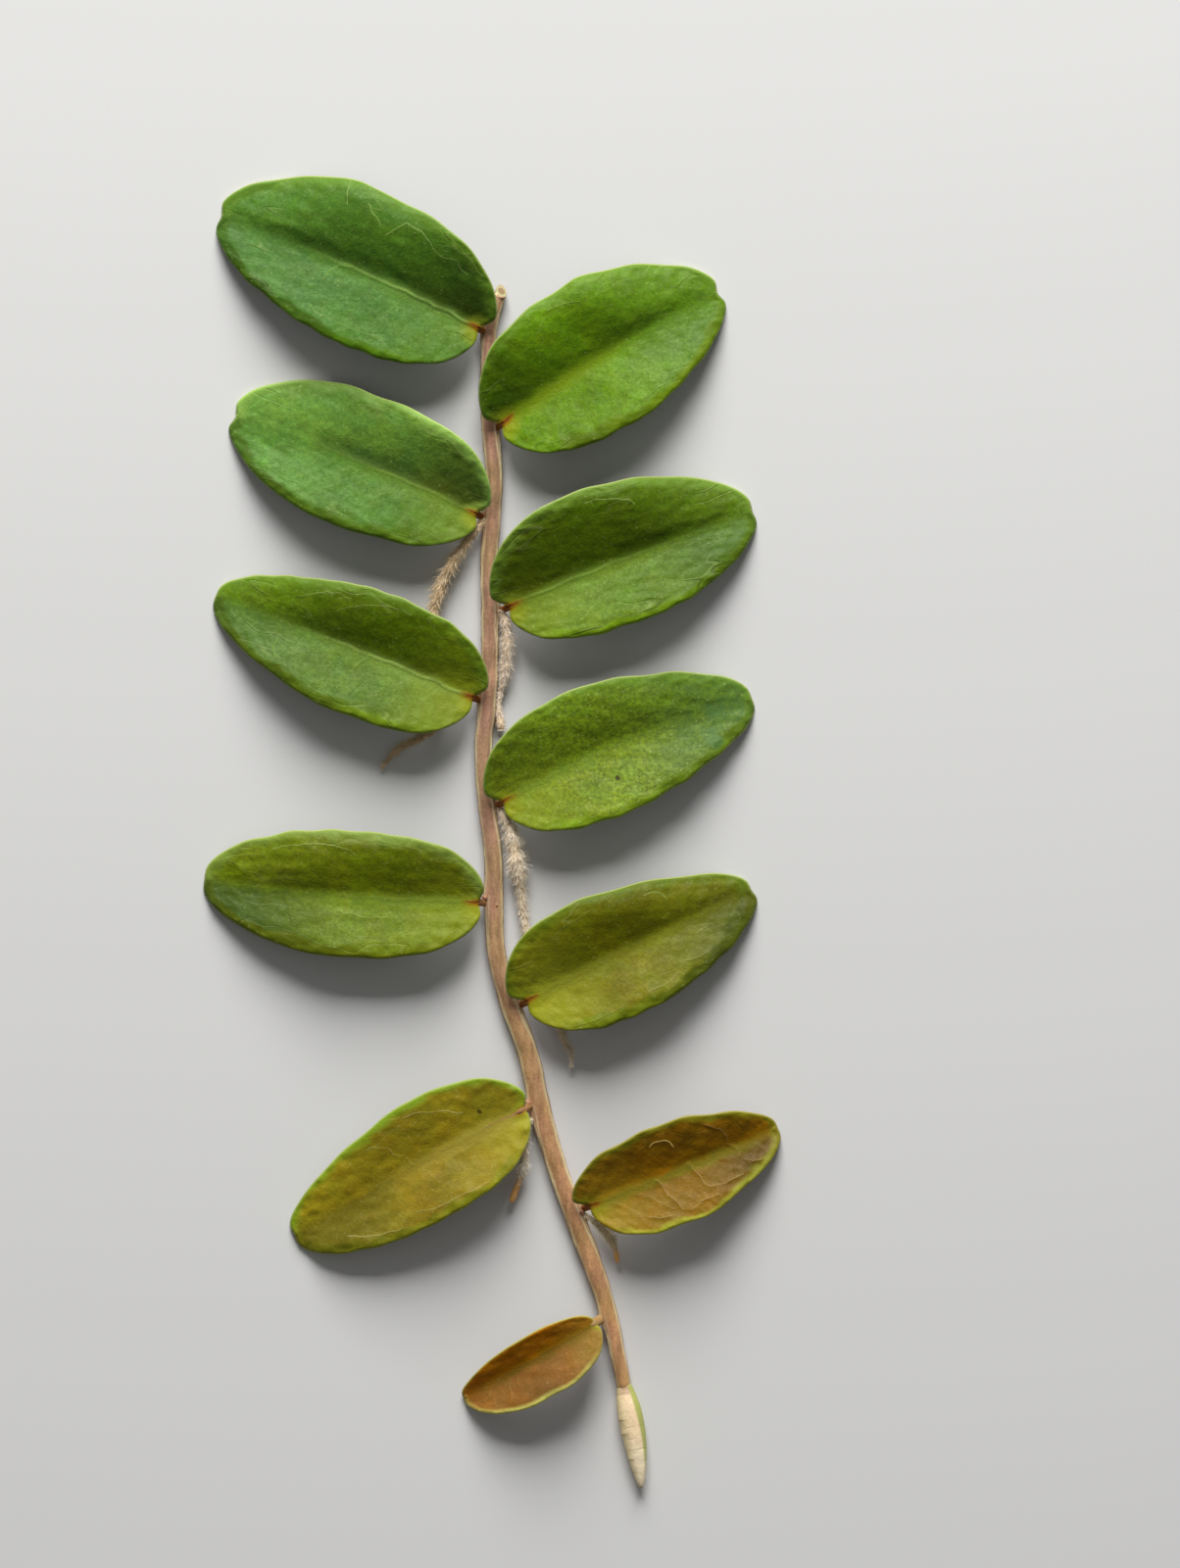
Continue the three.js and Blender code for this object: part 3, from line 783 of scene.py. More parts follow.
def shapeBlade(mesh, shape, look, marks):
    baseX, baseY, aim, length, bow, arch, fold, upper, lower = shape
    unit = vertexPlaces(mesh)
    polar = np.arccos(np.clip(unit[:, 2], -1, 1)) / math.pi
    around = np.arctan2(unit[:, 1], unit[:, 0])
    crowd = leafBuild["endCrowding"]
    share = (1 - crowd) * polar + crowd * (1 - np.cos(math.pi * polar)) / 2
    column = 1 - 2 * np.abs(around) / math.pi  # 1 at the upper margin, -1 at the lower one
    spacing = np.abs(column)
    crowd = leafBuild["sideCrowding"]
    out = spacing - crowd * np.sin(2 * math.pi * spacing) / (2 * math.pi)
    isUpper = column >= 0

    marginUp, breadthUp = wavyMargin(share, length, upper, look, 1)
    marginDown, breadthDown = wavyMargin(share, length, lower, look, 2)
    marginAlong = np.where(isUpper, marginUp, marginDown)
    marginAcross = np.where(isUpper, breadthUp, -breadthDown)
    ribAlong = length * share
    ribAcross = 4 * bow * share * (1 - share)
    along = ribAlong + (marginAlong - ribAlong) * out
    across = ribAcross + (marginAcross - ribAcross) * out
    spread = np.hypot(marginAlong - ribAlong, marginAcross - ribAcross)
    aside = across - ribAcross
    edge = outlineDistance(along, across, length, upper, lower, look)
    edge[(out > 0.9999) | (polar < 1e-6) | (polar > 1 - 1e-6)] = 0
    s = along / length
    top = foldedTop(s, spread * out, spread, edge, isUpper, arch, fold, look)

    # side veins, uneven skin, and a raised midrib with a groove below it
    seed = look["seed"]
    lateral = np.abs(aside)
    phase = (along - leafBuild["veinSlant"] * lateral - 0.035 * lateral ** 2) / leafBuild["veinSpacing"]
    phase += look["veinWander"] * ripple(along, across, 5.0, seed * 7)
    phase += 0.25 * np.tanh(aside / 0.4) + 0.37 * (seed % 3)
    fromVein = np.abs(phase - np.round(phase)) * leafBuild["veinSpacing"] * 0.8
    field = softStep(0.1, 0.7, lateral) * softStep(0.1, 0.8, edge)
    top += look["veinRise"] * field * np.exp(-(fromVein / leafBuild["veinWidth"]) ** 2)
    top += look["waves"] * softStep(0, 1.6, lateral) * ripple(along, across, 5.5, seed * 3)
    nearMargin = softStep(2.2, 0.5, edge) * softStep(0.0, 0.25, edge)
    pucker = look["puckers"] * softStep(0.1, 0.8, lateral) * (0.6 + 0.6 * np.maximum(nearMargin, s * s))
    top += pucker * ripple(along * 0.75, across, 0.95, seed * 5, 16)
    top += 0.35 * pucker * ripple(along, across, 0.5, seed * 5 + 1, 16)
    crooked = aside + leafBuild["crookedness"] * ripple(along, along * 0, 1.9, seed + 70, 6)
    rise, place, width = leafBuild["ribLine"]
    ribFade = softStep(look["ribReach"] + 0.2, look["ribReach"] - 0.35, s) * look["rib"]
    top += rise * ribFade * np.exp(-((crooked - place) / width) ** 2)
    rise, width = leafBuild["ridge"]
    top += rise * look["ridge"] * softStep(0.9, 0.5, s) * np.exp(-(aside / width) ** 2)
    depth, place, width = leafBuild["groove"]
    grooveFade = softStep(0.55, 0.15, s) * look["groove"]
    top -= depth * grooveFade * np.exp(-((crooked + place) / width) ** 2)

    turn = math.radians(aim)
    ahead = np.array([math.cos(turn), math.sin(turn)])
    upward = np.array([-ahead[1], ahead[0]])
    if upward[1] < 0:
        upward = -upward
    x = baseX + along * ahead[0] + across * upward[0]
    y = baseY + along * ahead[1] + across * upward[1]
    shaky = 0.05 * ripple(x, y, 0.9, seed + 80)
    for kind in ("scar", "branch"):
        distance, leftward = lineDistance(x + shaky, y + shaky, marks.get(kind, ()))
        top += look["markRise"][kind == "branch"] * np.exp(-(distance / leafBuild["markWidth"]) ** 2)
        addValues(mesh, **{kind: distance, kind + "side": leftward})
    addValues(mesh, spot=lineDistance(x, y, marks.get("spot", ()))[0])

    thickness = leafBuild["ribThickness"] + (leafBuild["rimThickness"] - leafBuild["ribThickness"]) * out
    inward = np.clip(edge / leafBuild["rimRadius"], 0, 1)
    full = np.sqrt(np.clip(1 - (1 - inward) ** 2, 0, 1))
    under = unit[:, 1] < -1e-6
    half = full * thickness / 2
    middle = np.maximum(top - thickness / 2, leafBuild["lowest"] + half)
    height = middle + np.where(under, -half, half)

    below = under * softStep(0.0, 0.15, edge)
    addValues(mesh, along=along, aside=crooked, edge=edge, phase=phase, under=below)
    setPlaces(mesh, np.column_stack([x, y, height]))
    # laid flat, the sphere turns inside out, and a frame with its upper half on the right turns it back
    return ahead[0] * upward[1] - ahead[1] * upward[0] > 0


# how far from the blade's base, height and share of the width along the petiole
petioleRows = ((-0.66, 0.6, 1.1), (-0.42, 0.84, 1.0), (-0.15, 1.18, 1.0), (0.12, 1.4, 1.2),
               (0.45, 1.45, 0.95), (1.0, 1.46, 0.5), (1.6, 1.44, 0.25))


def buildPetiole(shape, width, lift):
    baseX, baseY, aim = shape[:3]
    turn = math.radians(aim)
    rows = []
    for reach, z, share in petioleRows:
        x, y = baseX + reach * math.cos(turn), baseY + reach * math.sin(turn)
        z += lift * float(softStep(-0.2, 0.6, reach))
        rows.append((x, y, z, share * width, min(share, 1.0) * width))
    tube = extrudeTube("petiole", smoothPath(rows, 14), 10)
    smoothTube(tube, 1)
    return tube


def makeLeafSkinGroup():
    inputs = [("Vector", "vector"), ("back", "colour")]
    inputs += [(name, "value") for name in ("length", *leafPlaces, *leafValues)]
    inputs += [(name, "colour") for name in leafColours]
    outputs = [("Colour", "colour"), ("Height", "value"), ("Roughness", "value")]
    w, start, end = newGroup("leafSkin", inputs, outputs)
    spot = start["Vector"]
    along, aside, edge = start["along"], start["aside"], start["edge"]
    grain = placeGroup(w, "plantGrain", {"Vector": spot, "Scale": 620.0})
    patches = w.noise(spot, 210.0, 2.0)
    share = w.calc('DIVIDE', along, start["length"])
    lateral = w.absolute(aside)
    softness = w.step(share, 0.55, 0.95, 0.08, 0.6)  # the halves blend into each other at the tip
    isUpper = w.step(aside, w.product(softness, -1.0), softness)
    isLower = w.minus(1.0, isUpper)
    uneven = w.minus(grain["Blotch"], 0.5)
    flat = w.joined(w.product(along, 0.6), aside, start["length"])  # the blade laid flat, in mm
    crumple = w.noise(flat, 0.9, 3.0, 0.55)
    ragged = w.total(w.product(uneven, 0.9), w.product(w.minus(patches, 0.5), 1.6),
                     w.product(w.minus(crumple, 0.5), 1.2))

    # the two halves, each in its own colour that also holds painted shade and painted sheen for how that half
    # faces the lamp, with soft blotches and a fine pebbled grain
    colour = w.blend(isUpper, start["lowerBody"], start["upperBody"])
    colour = w.blend(w.step(grain["Blotch"], 0.38, 0.62), colour, (1.11, 0.98, 0.8, 1), 'MULTIPLY')
    colour = w.tone(colour, patches, 0.3, 0.7, 0.9, 1.1)
    colour = w.tone(colour, crumple, 0.35, 0.65, 0.9, 1.08)
    pebbles = w.minus(w.step(grain["Dash"], 0.28, 0.72, -0.17, 0.16),
                     w.step(grain["Pore"], 0.0, 1.0, -0.04, 0.1))
    colour = w.shades(colour, w.total(w.product(pebbles, start["grain"]), 1.0))

    # painted shade beside the midrib of the upper half, where the fold turns from the lamp, and painted light
    # there where its strength is below 0; a yellower base; and painted shade or light on the tips and on the
    # upper half's base
    limit = w.minus(3.2, w.product(share, 2.4))
    reachOut = w.calc('DIVIDE', w.total(aside, w.product(uneven, 1.6)), limit)
    fading = w.step(share, start["deepEnd"], w.minus(start["deepEnd"], 0.3))
    deep = w.product(w.step(reachOut, 1.0, 0.15), isUpper, fading, start["deep"])
    colour = w.shades(colour, w.minus(1.0, deep))
    base = w.product(w.step(share, 0.36, 0.05), w.step(aside, 2.5, -0.4, 0.35, 1.0), start["baseLight"])
    colour = w.blend(base, colour, start["baseTint"])
    # painted shade or light: each half's tip, and the upper half near its base, made darker or lighter than
    # the rest
    upperShade = w.product(w.step(share, 0.55, 0.9, 1.0, start["upperTip"]),
                           w.step(share, 0.06, 0.26, start["upperBase"], 1.0))
    lowerShade = w.step(share, 0.5, 0.88, 1.0, start["lowerTip"])
    colour = w.shades(colour, w.total(w.product(upperShade, isUpper), w.product(lowerShade, isLower)))

    # painted blue-green sheen, a reflection of the light, towards the tip, most of it below the midrib
    paintedSheenMask = w.product(w.step(share, 0.4, 0.95), w.step(grain["Blotch"], 0.2, 0.7), start["haze"],
                     w.step(aside, 1.0, -1.5, start["hazeUpper"], 1.0))
    colour = w.blend(paintedSheenMask, colour, start["hazeTint"])

    # broken side veins and the cross lines between them
    phase = w.total(start["phase"], w.product(uneven, 0.8))
    fromVein = w.absolute(w.minus(phase, w.calc('ROUND', phase)))
    field = w.product(w.step(lateral, 0.15, 0.6), w.step(edge, 0.45, 1.1))
    broken = w.step(w.noise(spot, 430.0, 1.0), 0.4, 0.58)
    veinLine = w.product(w.step(fromVein, 0.036, 0.008), field, broken, start["veins"])
    crooked = w.moved(spot, w.shades(w.noise(spot, 700.0, 2.0, output="Color"), 0.0007))
    net = w.cells(crooked, 480.0, 'DISTANCE_TO_EDGE').outputs["Distance"]
    netLine = w.product(w.step(net, 0.03, 0.008), field, broken, start["net"])
    branch = w.product(w.step(w.absolute(start["branchside"]), 0.07, 0.015),
                       w.step(start["branch"], 0.16, 0.08), w.step(patches, 0.3, 0.5, 0.4, 1.0))
    lines = w.calc('MAXIMUM', veinLine, netLine)
    lines = w.product(lines, w.step(aside, 0.0, 0.4, 1.0, 0.35))
    lines = w.calc('MAXIMUM', lines, branch)
    colour = w.layer(colour, start["veinTint"], lines, 0.45)

    # wrinkles near the margins and the tip: painted shade in each crevice beside a painted highlight on a
    # crest, over a small bump
    zone = w.calc('MAXIMUM', w.step(edge, 2.4, 0.5), w.step(share, 0.45, 0.9))
    patchy = w.step(w.noise(flat, 0.45, 1.0), 0.4, 0.55)
    folds = w.noise(w.joined(w.product(along, 0.24), aside, start["length"]), 0.85, 1.4, 0.4)
    zone = w.product(zone, patchy, start["wrinkles"], w.step(lateral, 0.2, 0.8), w.step(edge, 0.08, 0.3))
    fromFold = w.absolute(w.minus(folds, 0.48))
    shadedCrevice = w.product(w.step(fromFold, 0.02, 0.003), zone)
    fromCrest = w.absolute(w.minus(folds, 0.515))
    highlightedCrest = w.product(w.step(fromCrest, 0.022, 0.004), zone)
    colour = w.tone(colour, shadedCrevice, 0.0, 1.0, 1.0, 0.82)
    colour = w.layer(colour, start["outline"], highlightedCrest, 0.25)

    # old pale scratches and small dark spots
    scar = w.product(w.step(w.absolute(start["scarside"]), 0.065, 0.015),
                     w.step(start["scar"], 0.16, 0.08), w.step(patches, 0.3, 0.45, 0.45, 1.0))
    colour = w.layer(colour, start["scarTint"], scar, 0.45, start["scarring"])
    colour = w.layer(colour, (0.03, 0.02, 0.004, 1), w.step(start["spot"], 0.2, 0.07), 0.85)

    # midrib: a soft pale band, a thin broken pale line and painted shade in the groove under it
    reachEnd = w.total(start["ribReach"], 0.15)
    ribFade = w.step(share, reachEnd, w.minus(start["ribReach"], 0.35))
    fromGlow = w.total(w.absolute(w.total(aside, 0.1)), w.product(uneven, 1.0))
    glow = w.step(fromGlow, start["glowWidth"], w.product(start["glowWidth"], 0.2))
    colour = w.layer(colour, start["ribTint"], glow, ribFade, start["glow"], 0.8)
    ribFade = w.product(ribFade, start["rib"])
    ribBreaks = w.step(crumple, 0.35, 0.55, 0.35, 1.0)
    ribLine = w.product(w.step(aside, -0.1, 0.0), w.step(aside, 0.2, 0.06), ribFade, ribBreaks)
    colour = w.layer(colour, start["ribTint"], ribLine, 0.8)
    groove = w.product(w.step(aside, -0.28, -0.19), w.step(aside, -0.07, -0.14),
                       w.step(share, 0.5, 0.2), start["groove"])
    colour = w.tone(colour, groove, 0.0, 1.0, 1.0, 0.72)

    # margins: a lighter rim above, partly a paler margin and partly painted highlight where the margin curls
    # towards the lamp; a crisp ragged band below; and a thin pale outline
    rimEdge = w.total(edge, w.product(ragged, start["rimWidth"], 0.7))
    rim = w.step(rimEdge, start["rimWidth"], w.product(start["rimWidth"], 0.15))
    colour = w.layer(colour, start["rimTint"], rim, isUpper, start["rim"])
    # the band below: partly the margin's own yellower or paler colour and partly painted shade where the
    # lower margin curls away from the lamp, made lighter or darker along the blade by bandBase and bandTip
    bandEdge = w.total(edge, w.product(ragged, start["bandWidth"], start["ragged"]))
    band = w.product(w.step(bandEdge, start["bandWidth"], w.product(start["bandWidth"], start["bandSoft"])),
                     isLower, start["band"], w.step(share, 0.02, 0.22), w.step(share, 1.0, 0.86, 0.5, 1.0))
    bandColour = w.tone(start["bandTint"], grain["Blotch"], 0.3, 0.7, 0.8, 1.25)
    bandColour = w.tone(bandColour, share, 0.25, 0.75, start["bandBase"], start["bandTip"])
    bandColour = w.tone(bandColour, shadedCrevice, 0.0, 1.0, 1.0, 0.6)
    colour = w.blend(band, colour, bandColour)
    outline = w.product(w.step(edge, 0.13, 0.04), w.step(aside, -0.6, 0.4, start["lowerEdge"], 0.8))
    colour = w.blend(outline, colour, start["outline"])

    # yellow, orange and red-brown bleed from the petiole
    flushes = (
        (0.7, 0.8, 0.25, 1.5, 0.25, 0.6, (0.3, 0.31, 0.008, 1)),
        (0.5, 1.7, 0.0, 0.85, 0.2, 0.8, (0.33, 0.145, 0.005, 1)),
        (start["streak"], 3.2, -0.06, 0.6, 0.2, 0.9, start["flushTint"]),
    )
    for squeezeAlong, squeezeAcross, below, farthest, nearest, strength, tint in flushes:
        reach = w.hypotenuse(w.product(along, squeezeAlong),
                             w.product(w.total(aside, below), squeezeAcross))
        reach = w.calc('DIVIDE', w.total(reach, w.product(uneven, 0.6)), start["flush"])
        colour = w.layer(colour, tint, w.step(reach, farthest, nearest), strength)

    flecks = w.product(grain["Fleck"], start["flecks"])
    colour = w.layer(colour, start["outline"], flecks, 0.55)
    colour = w.blend(start["under"], colour, start["back"])
    w.feed(end["Colour"], colour)

    parts = ((grain["Dash"], 0.03), (grain["Blotch"], 0.028), (grain["Pore"], -0.006), (scar, 0.01),
             (flecks, 0.01), (lines, 0.014), (shadedCrevice, -0.022), (highlightedCrest, 0.01))
    w.feed(end["Height"], w.total(0.0, *[w.product(mask, rise) for mask, rise in parts]))
    w.feed(end["Roughness"], w.step(grain["Dash"], 0.25, 0.75, 0.56, 0.46))


def makeLeafMaterial(name, look, length):
    material, w, skin, spot, _ = newMaterial(name, 0.5, 0.13)
    paler = [0.6 * value + 0.05 for value in look["lowerBody"]]
    settings = {"Vector": spot, "back": (*paler, 1), "length": length}
    settings.update({place: w.attribute(place) for place in leafPlaces})
    settings.update({key: look[key] for key in leafValues})
    settings.update({key: (*look[key], 1) for key in leafColours})
    found = placeGroup(w, "leafSkin", settings)
    w.feed(skin.inputs["Roughness"], found["Roughness"])
    coverSkin(w, skin, found["Colour"], found["Height"])
    return material


def makePetioleMaterial(name, first, second):
    material, w, skin, spot, grain = newMaterial(name, 0.6, 0.25, 900.0)
    colour = w.blend(w.step(grain["Blotch"], 0.35, 0.65), first, second)
    colour = w.layer(colour, (0.4, 0.2, 0.1, 1), grain["Fleck"], 0.4)
    coverSkin(w, skin, colour, w.product(grain["Dash"], 0.02))
    return material


def pieceName(node):
    words = node.split("_")
    return words[0] + "".join(word.capitalize() for word in words[1:])


def buildLeaf(node, petioleSkins):
    shape = leafShapes[node]
    look = {**plainLook, **leafLooks[node]}
    petiole = buildPetiole(shape, look["petioleWidth"], look["petioleLift"])
    petiole.data.materials.append(petioleSkins[look["petiole"]])
    clearSelection()
    segments, rings = leafBuild["segments"], leafBuild["rings"]
    if shape[3] < leafBuild["shortBlade"]:
        segments, rings = leafBuild["shortSegments"], leafBuild["shortRings"]
    bpy.ops.mesh.primitive_uv_sphere_add(segments=segments, ring_count=rings, radius=1)
    blade = bpy.context.object
    blade.name = pieceName(node)
    insideOut = shapeBlade(blade.data, shape, look, leafMarks.get(node, {}))
    bpy.ops.object.shade_smooth()
    if insideOut:
        editAll()
        bpy.ops.mesh.flip_normals()
        bpy.ops.object.mode_set(mode='OBJECT')
    blade.data.materials.append(makeLeafMaterial(blade.name + "Skin", look, shape[3]))
    finishPiece(blade, node, [petiole])


makeLeafSkinGroup()
petioleSkins = {
    "red": makePetioleMaterial("redPetioleSkin", (0.4, 0.15, 0.035, 1), (0.26, 0.08, 0.016, 1)),
    "tan": makePetioleMaterial("tanPetioleSkin", (0.38, 0.21, 0.09, 1), (0.3, 0.14, 0.05, 1)),
    "olive": makePetioleMaterial("olivePetioleSkin", (0.42, 0.26, 0.1, 1), (0.32, 0.19, 0.06, 1)),
}
for node in leafShapes:
    buildLeaf(node, petioleSkins)
print("eleven leaves with petioles are shaped")


# stem with its buds

stem = {
    "height": 1.05,
    # x, y, width along the stem from the cut end to the growing end
    "stations": (
        (0.7, 36.9, 0.8), (-0.08, 34.5, 1.0), (-0.2, 31.0, 1.12), (-0.07, 27.5, 1.16),
        (0.2, 24.6, 1.2), (0.08, 21.7, 1.2), (-0.14, 18.5, 1.2), (-0.1, 15.4, 1.2),
        (-0.08, 12.4, 1.2), (-0.22, 9.4, 1.22), (-0.52, 5.8, 1.22), (-0.32, 2.2, 1.24),
        (0.13, -1.4, 1.26), (0.21, -4.5, 1.26), (0.33, -8.0, 1.28), (1.16, -11.3, 1.34),
        (2.49, -14.9, 1.46), (3.31, -18.6, 1.42), (4.27, -22.1, 1.38), (5.44, -25.5, 1.36),
        (6.93, -29.4, 1.38), (8.07, -32.9, 1.12), (8.95, -37.2, 0.97), (9.1, -38.05, 0.92),
    ),
    "nodes": {34.5: -1, 27.6: 1, 21.7: -1, 15.4: 1, 9.4: -1, 2.2: 1, -4.5: -1, -11.3: 1, -18.6: -1,
              -25.5: 1, -32.9: -1},  # y of each node and the side of its leaf, -1 is left
    "nodeSwelling": 0.13,
    "ridgeAngle": 31,  # degrees above the widest line, where a pale ridge runs on each side
    "ridgeSpread": 12,
    "ridgeHeight": 0.045,
    "lineLength": 5.2,  # pale line that runs down from a petiole
    "lineAngles": (60, 32),  # degrees at its top, and how far it turns outward on its way down
    "lineStrength": (0.9, 0.5),  # on the right and on the left
    "lineRise": 0.035,
    "bumps": (0.022, 0.01),  # coarse and fine unevenness of the skin
    "cutSlant": 0.9,
    "cutRings": (0.04, 0.12),
    "cutAbove": 30,  # the end face beyond this y is the cut
}
# x, y, z, length, width, aim of each bud, in mm and degrees
buds = (
    (-0.76, 9.55, 0.85, 0.42, 0.3, 120),
    (0.22, 2.55, 1.02, 0.45, 0.28, 60),
    (-0.45, -4.42, 0.95, 0.46, 0.4, 150),
    (2.45, -18.38, 0.98, 0.66, 0.5, 130),
    (6.2, -25.88, 1.0, 0.55, 0.34, 300),
    (0.36, -4.95, 1.0, 0.3, 0.16, 250),
)


def makeStemMaterial():
    material, w, skin, spot, grain = newMaterial("stemSkin", 0.6, 0.3, 900.0)
    streak = w.noise(w.stretched(spot, (1.0, 0.16, 1.0)), 2600.0, 3.0, 0.6)
    patch = w.noise(spot, 260.0, 2.0)
    colour = w.blend(w.step(patch, 0.35, 0.65), (0.46, 0.25, 0.138, 1), (0.42, 0.25, 0.108, 1))
    place = w.add("SeparateXYZ")
    w.feed(place.inputs[0], spot)
    older = w.step(place.outputs["Y"], -0.03, 0.004)  # warmer and paler towards the growing end
    ageTint = w.blend(older, (1.12, 1.06, 0.9, 1), (0.93, 0.93, 1.1, 1))
    colour = w.blend(1.0, colour, ageTint, 'MULTIPLY')
    colour = w.layer(colour, (0.5, 0.2, 0.13, 1), w.attribute("blush"), 0.55)
    colour = w.tone(colour, streak, 0.3, 0.7, 0.8, 1.2)
    colour = w.tone(colour, grain["Dash"], 0.3, 0.7, 0.88, 1.1)
    paleLine = w.calc('MAXIMUM', w.attribute("ridge"), w.attribute("line"))
    colour = w.layer(colour, (0.8, 0.7, 0.4, 1), paleLine, 0.85)
    colour = w.layer(colour, (0.2, 0.1, 0.07, 1), grain["Fleck"], 0.35)
    ring = w.attribute("cut")
    colour = w.blend(w.step(ring, 0.05, 0.25), colour, (0.36, 0.34, 0.17, 1))
    colour = w.blend(w.step(ring, 0.4, 0.62), colour, (0.24, 0.15, 0.07, 1))
    coverSkin(w, skin, colour, w.total(w.product(streak, 0.04), w.product(grain["Dash"], 0.018)))
    return material


def makeBudMaterial():
    material, w, skin, spot, grain = newMaterial("budSkin", 0.5, 0.4, 1500.0)
    colour = w.blend(w.step(grain["Blotch"], 0.35, 0.65), (0.42, 0.2, 0.11, 1), (0.33, 0.18, 0.08, 1))
    coverSkin(w, skin, colour, w.product(grain["Dash"], 0.02))
    return material


def nodeMarks(fromEnd, angle):
    # swelling and blush at each node, and the pale line that runs down from its petiole
    swell = np.zeros_like(angle)
    blush = np.zeros_like(angle)
    line = np.zeros_like(angle)
    for height, side in stem["nodes"].items():
        below = height - fromEnd
        facing = np.clip(0.35 + 0.65 * side * np.cos(np.radians(angle)), 0, 1)
        swell += facing * np.exp(-(below / 0.95) ** 2)
        blush += facing * np.exp(-((below - 0.5) / 1.0) ** 2)
        lineTop, lineTurn = stem["lineAngles"]
        lineAngle = lineTop - lineTurn * np.clip(below / stem["lineLength"], 0, 1)
        strength = stem["lineStrength"][side < 0]
        if side < 0:
            lineAngle = 180 - lineAngle
        within = softStep(-0.4, 0.1, below) * softStep(stem["lineLength"], stem["lineLength"] * 0.6, below)
        line += strength * within * np.exp(-((angle - lineAngle) / 6) ** 2)
    return swell, blush, line


def shapeStem(mesh, path):
    places = vertexPlaces(mesh)
    walked, aside, lift, near, rightSide = tubeCoordinates(places, path)
    width = path[near, 3]
    angle = np.degrees(np.arctan2(lift / stem["height"], aside / width))
    radius = np.hypot(aside, lift)
    ridgeAngle, ridgeSpread = stem["ridgeAngle"], stem["ridgeSpread"]
    ridge = np.exp(-((angle - ridgeAngle) / ridgeSpread) ** 2)
    ridge += np.exp(-((angle - 180 + ridgeAngle) / ridgeSpread) ** 2)
    ridge *= 0.75 + 0.25 * ripple(walked, walked * 0, 3.0, 5)
    swell, blush, line = nodeMarks(path[near, 1], angle)
    coarse, fine = stem["bumps"]
    bumpy = coarse * ripple(walked, angle / 40, 2.4, 8) + fine * ripple(walked, angle / 16, 0.7, 9, 12)
    push = stem["ridgeHeight"] * ridge + stem["nodeSwelling"] * swell + stem["lineRise"] * line + bumpy
    scale = push * softStep(-0.05, 0.35, walked) / np.maximum(radius, 0.2)
    places[:, :2] += rightSide * (aside * scale)[:, None]
    places[:, 2] = np.maximum(places[:, 2] + lift * scale, 0.0)
    # a slanting cut, so its face looks up
    places[:, 1] -= stem["cutSlant"] * lift * softStep(0.5, 0.0, walked)
    # the cut face: 0 on the skin, 1 in the middle of the pith
    cut = softStep(0.12, 0.02, walked) * np.clip(1.15 - radius / (0.5 * width), 0, 1)
    addValues(mesh, ridge=np.clip(ridge, 0, 1), line=np.clip(line, 0, 1), blush=np.clip(blush, 0, 1), cut=cut)
    setPlaces(mesh, places)


def buildBud(bud, skin):
    x, y, z, length, width, aim = bud
    clearSelection()
    bpy.ops.mesh.primitive_uv_sphere_add(segments=20, ring_count=12, radius=0.5)
    bulb = bpy.context.object
    editAll()
    bpy.ops.transform.resize(value=(length, width, width), center_override=(0, 0, 0))
    bpy.ops.transform.rotate(value=-math.radians(aim), orient_axis='Z', center_override=(0, 0, 0))
    bpy.ops.transform.translate(value=(x, y, z))
    bpy.ops.object.mode_set(mode='OBJECT')
    places = vertexPlaces(bulb.data)
    turn = math.radians(aim)
    forward = (places[:, 0] - x) * math.cos(turn) + (places[:, 1] - y) * math.sin(turn)
    pinch = 1 - 0.45 * softStep(-0.1 * length, 0.5 * length, forward)
    centre = np.column_stack([x + forward * math.cos(turn), y + forward * math.sin(turn),
                              np.full(len(places), z)])
    setPlaces(bulb.data, centre + (places - centre) * pinch[:, None])
    bpy.ops.object.shade_smooth()
    bulb.data.materials.append(skin)
    return bulb


def buildStem():
    rows = [(x, y, stem["height"] / 2, width, stem["height"]) for x, y, width in stem["stations"]]
    tube = extrudeTube("stemWithBuds", smoothPath(rows, 112), 18)
    # rings on the cut face keep its rim crisp and mark the pith
    bpy.ops.object.mode_set(mode='EDIT')
    bpy.ops.mesh.select_mode(type='FACE')
    bpy.ops.mesh.select_all(action='DESELECT')
    bpy.ops.object.mode_set(mode='OBJECT')
    for face in tube.data.polygons:
        face.select = len(face.vertices) > 4 and face.center.y > stem["cutAbove"]
    bpy.ops.object.mode_set(mode='EDIT')
    for ring in stem["cutRings"]:
        bpy.ops.mesh.inset(thickness=ring, use_even_offset=False)
    bpy.ops.object.mode_set(mode='OBJECT')
    smoothTube(tube, 2)
    shapeStem(tube.data, smoothPath(rows, 1600))
    tube.data.materials.append(makeStemMaterial())
    budSkin = makeBudMaterial()
    finishPiece(tube, "stem", [buildBud(bud, budSkin) for bud in buds])


buildStem()
print("stem with buds is shaped")


# aerial roots: a lumpy matted core under a felt of root hairs

rootFelt = {
    "hairWidth": 0.028,
    "hairCurl": 0.35,
    "clumpSpacing": 0.017,  # mm of root per clump of hairs
    "hairsPerClump": 5,
    "standing": 0.25,  # share of the clumps that stand off the root
    "lift": (0.3, 1.1),  # how far the leaning and the standing clumps rise
    "coreShare": 0.44,  # where a hair springs, as a share of the core's width
    "lumps": 0.13,  # unevenness of the matted core, as a share of its width
    "endTaper": 0.62,
    "lowest": 0.02,
}
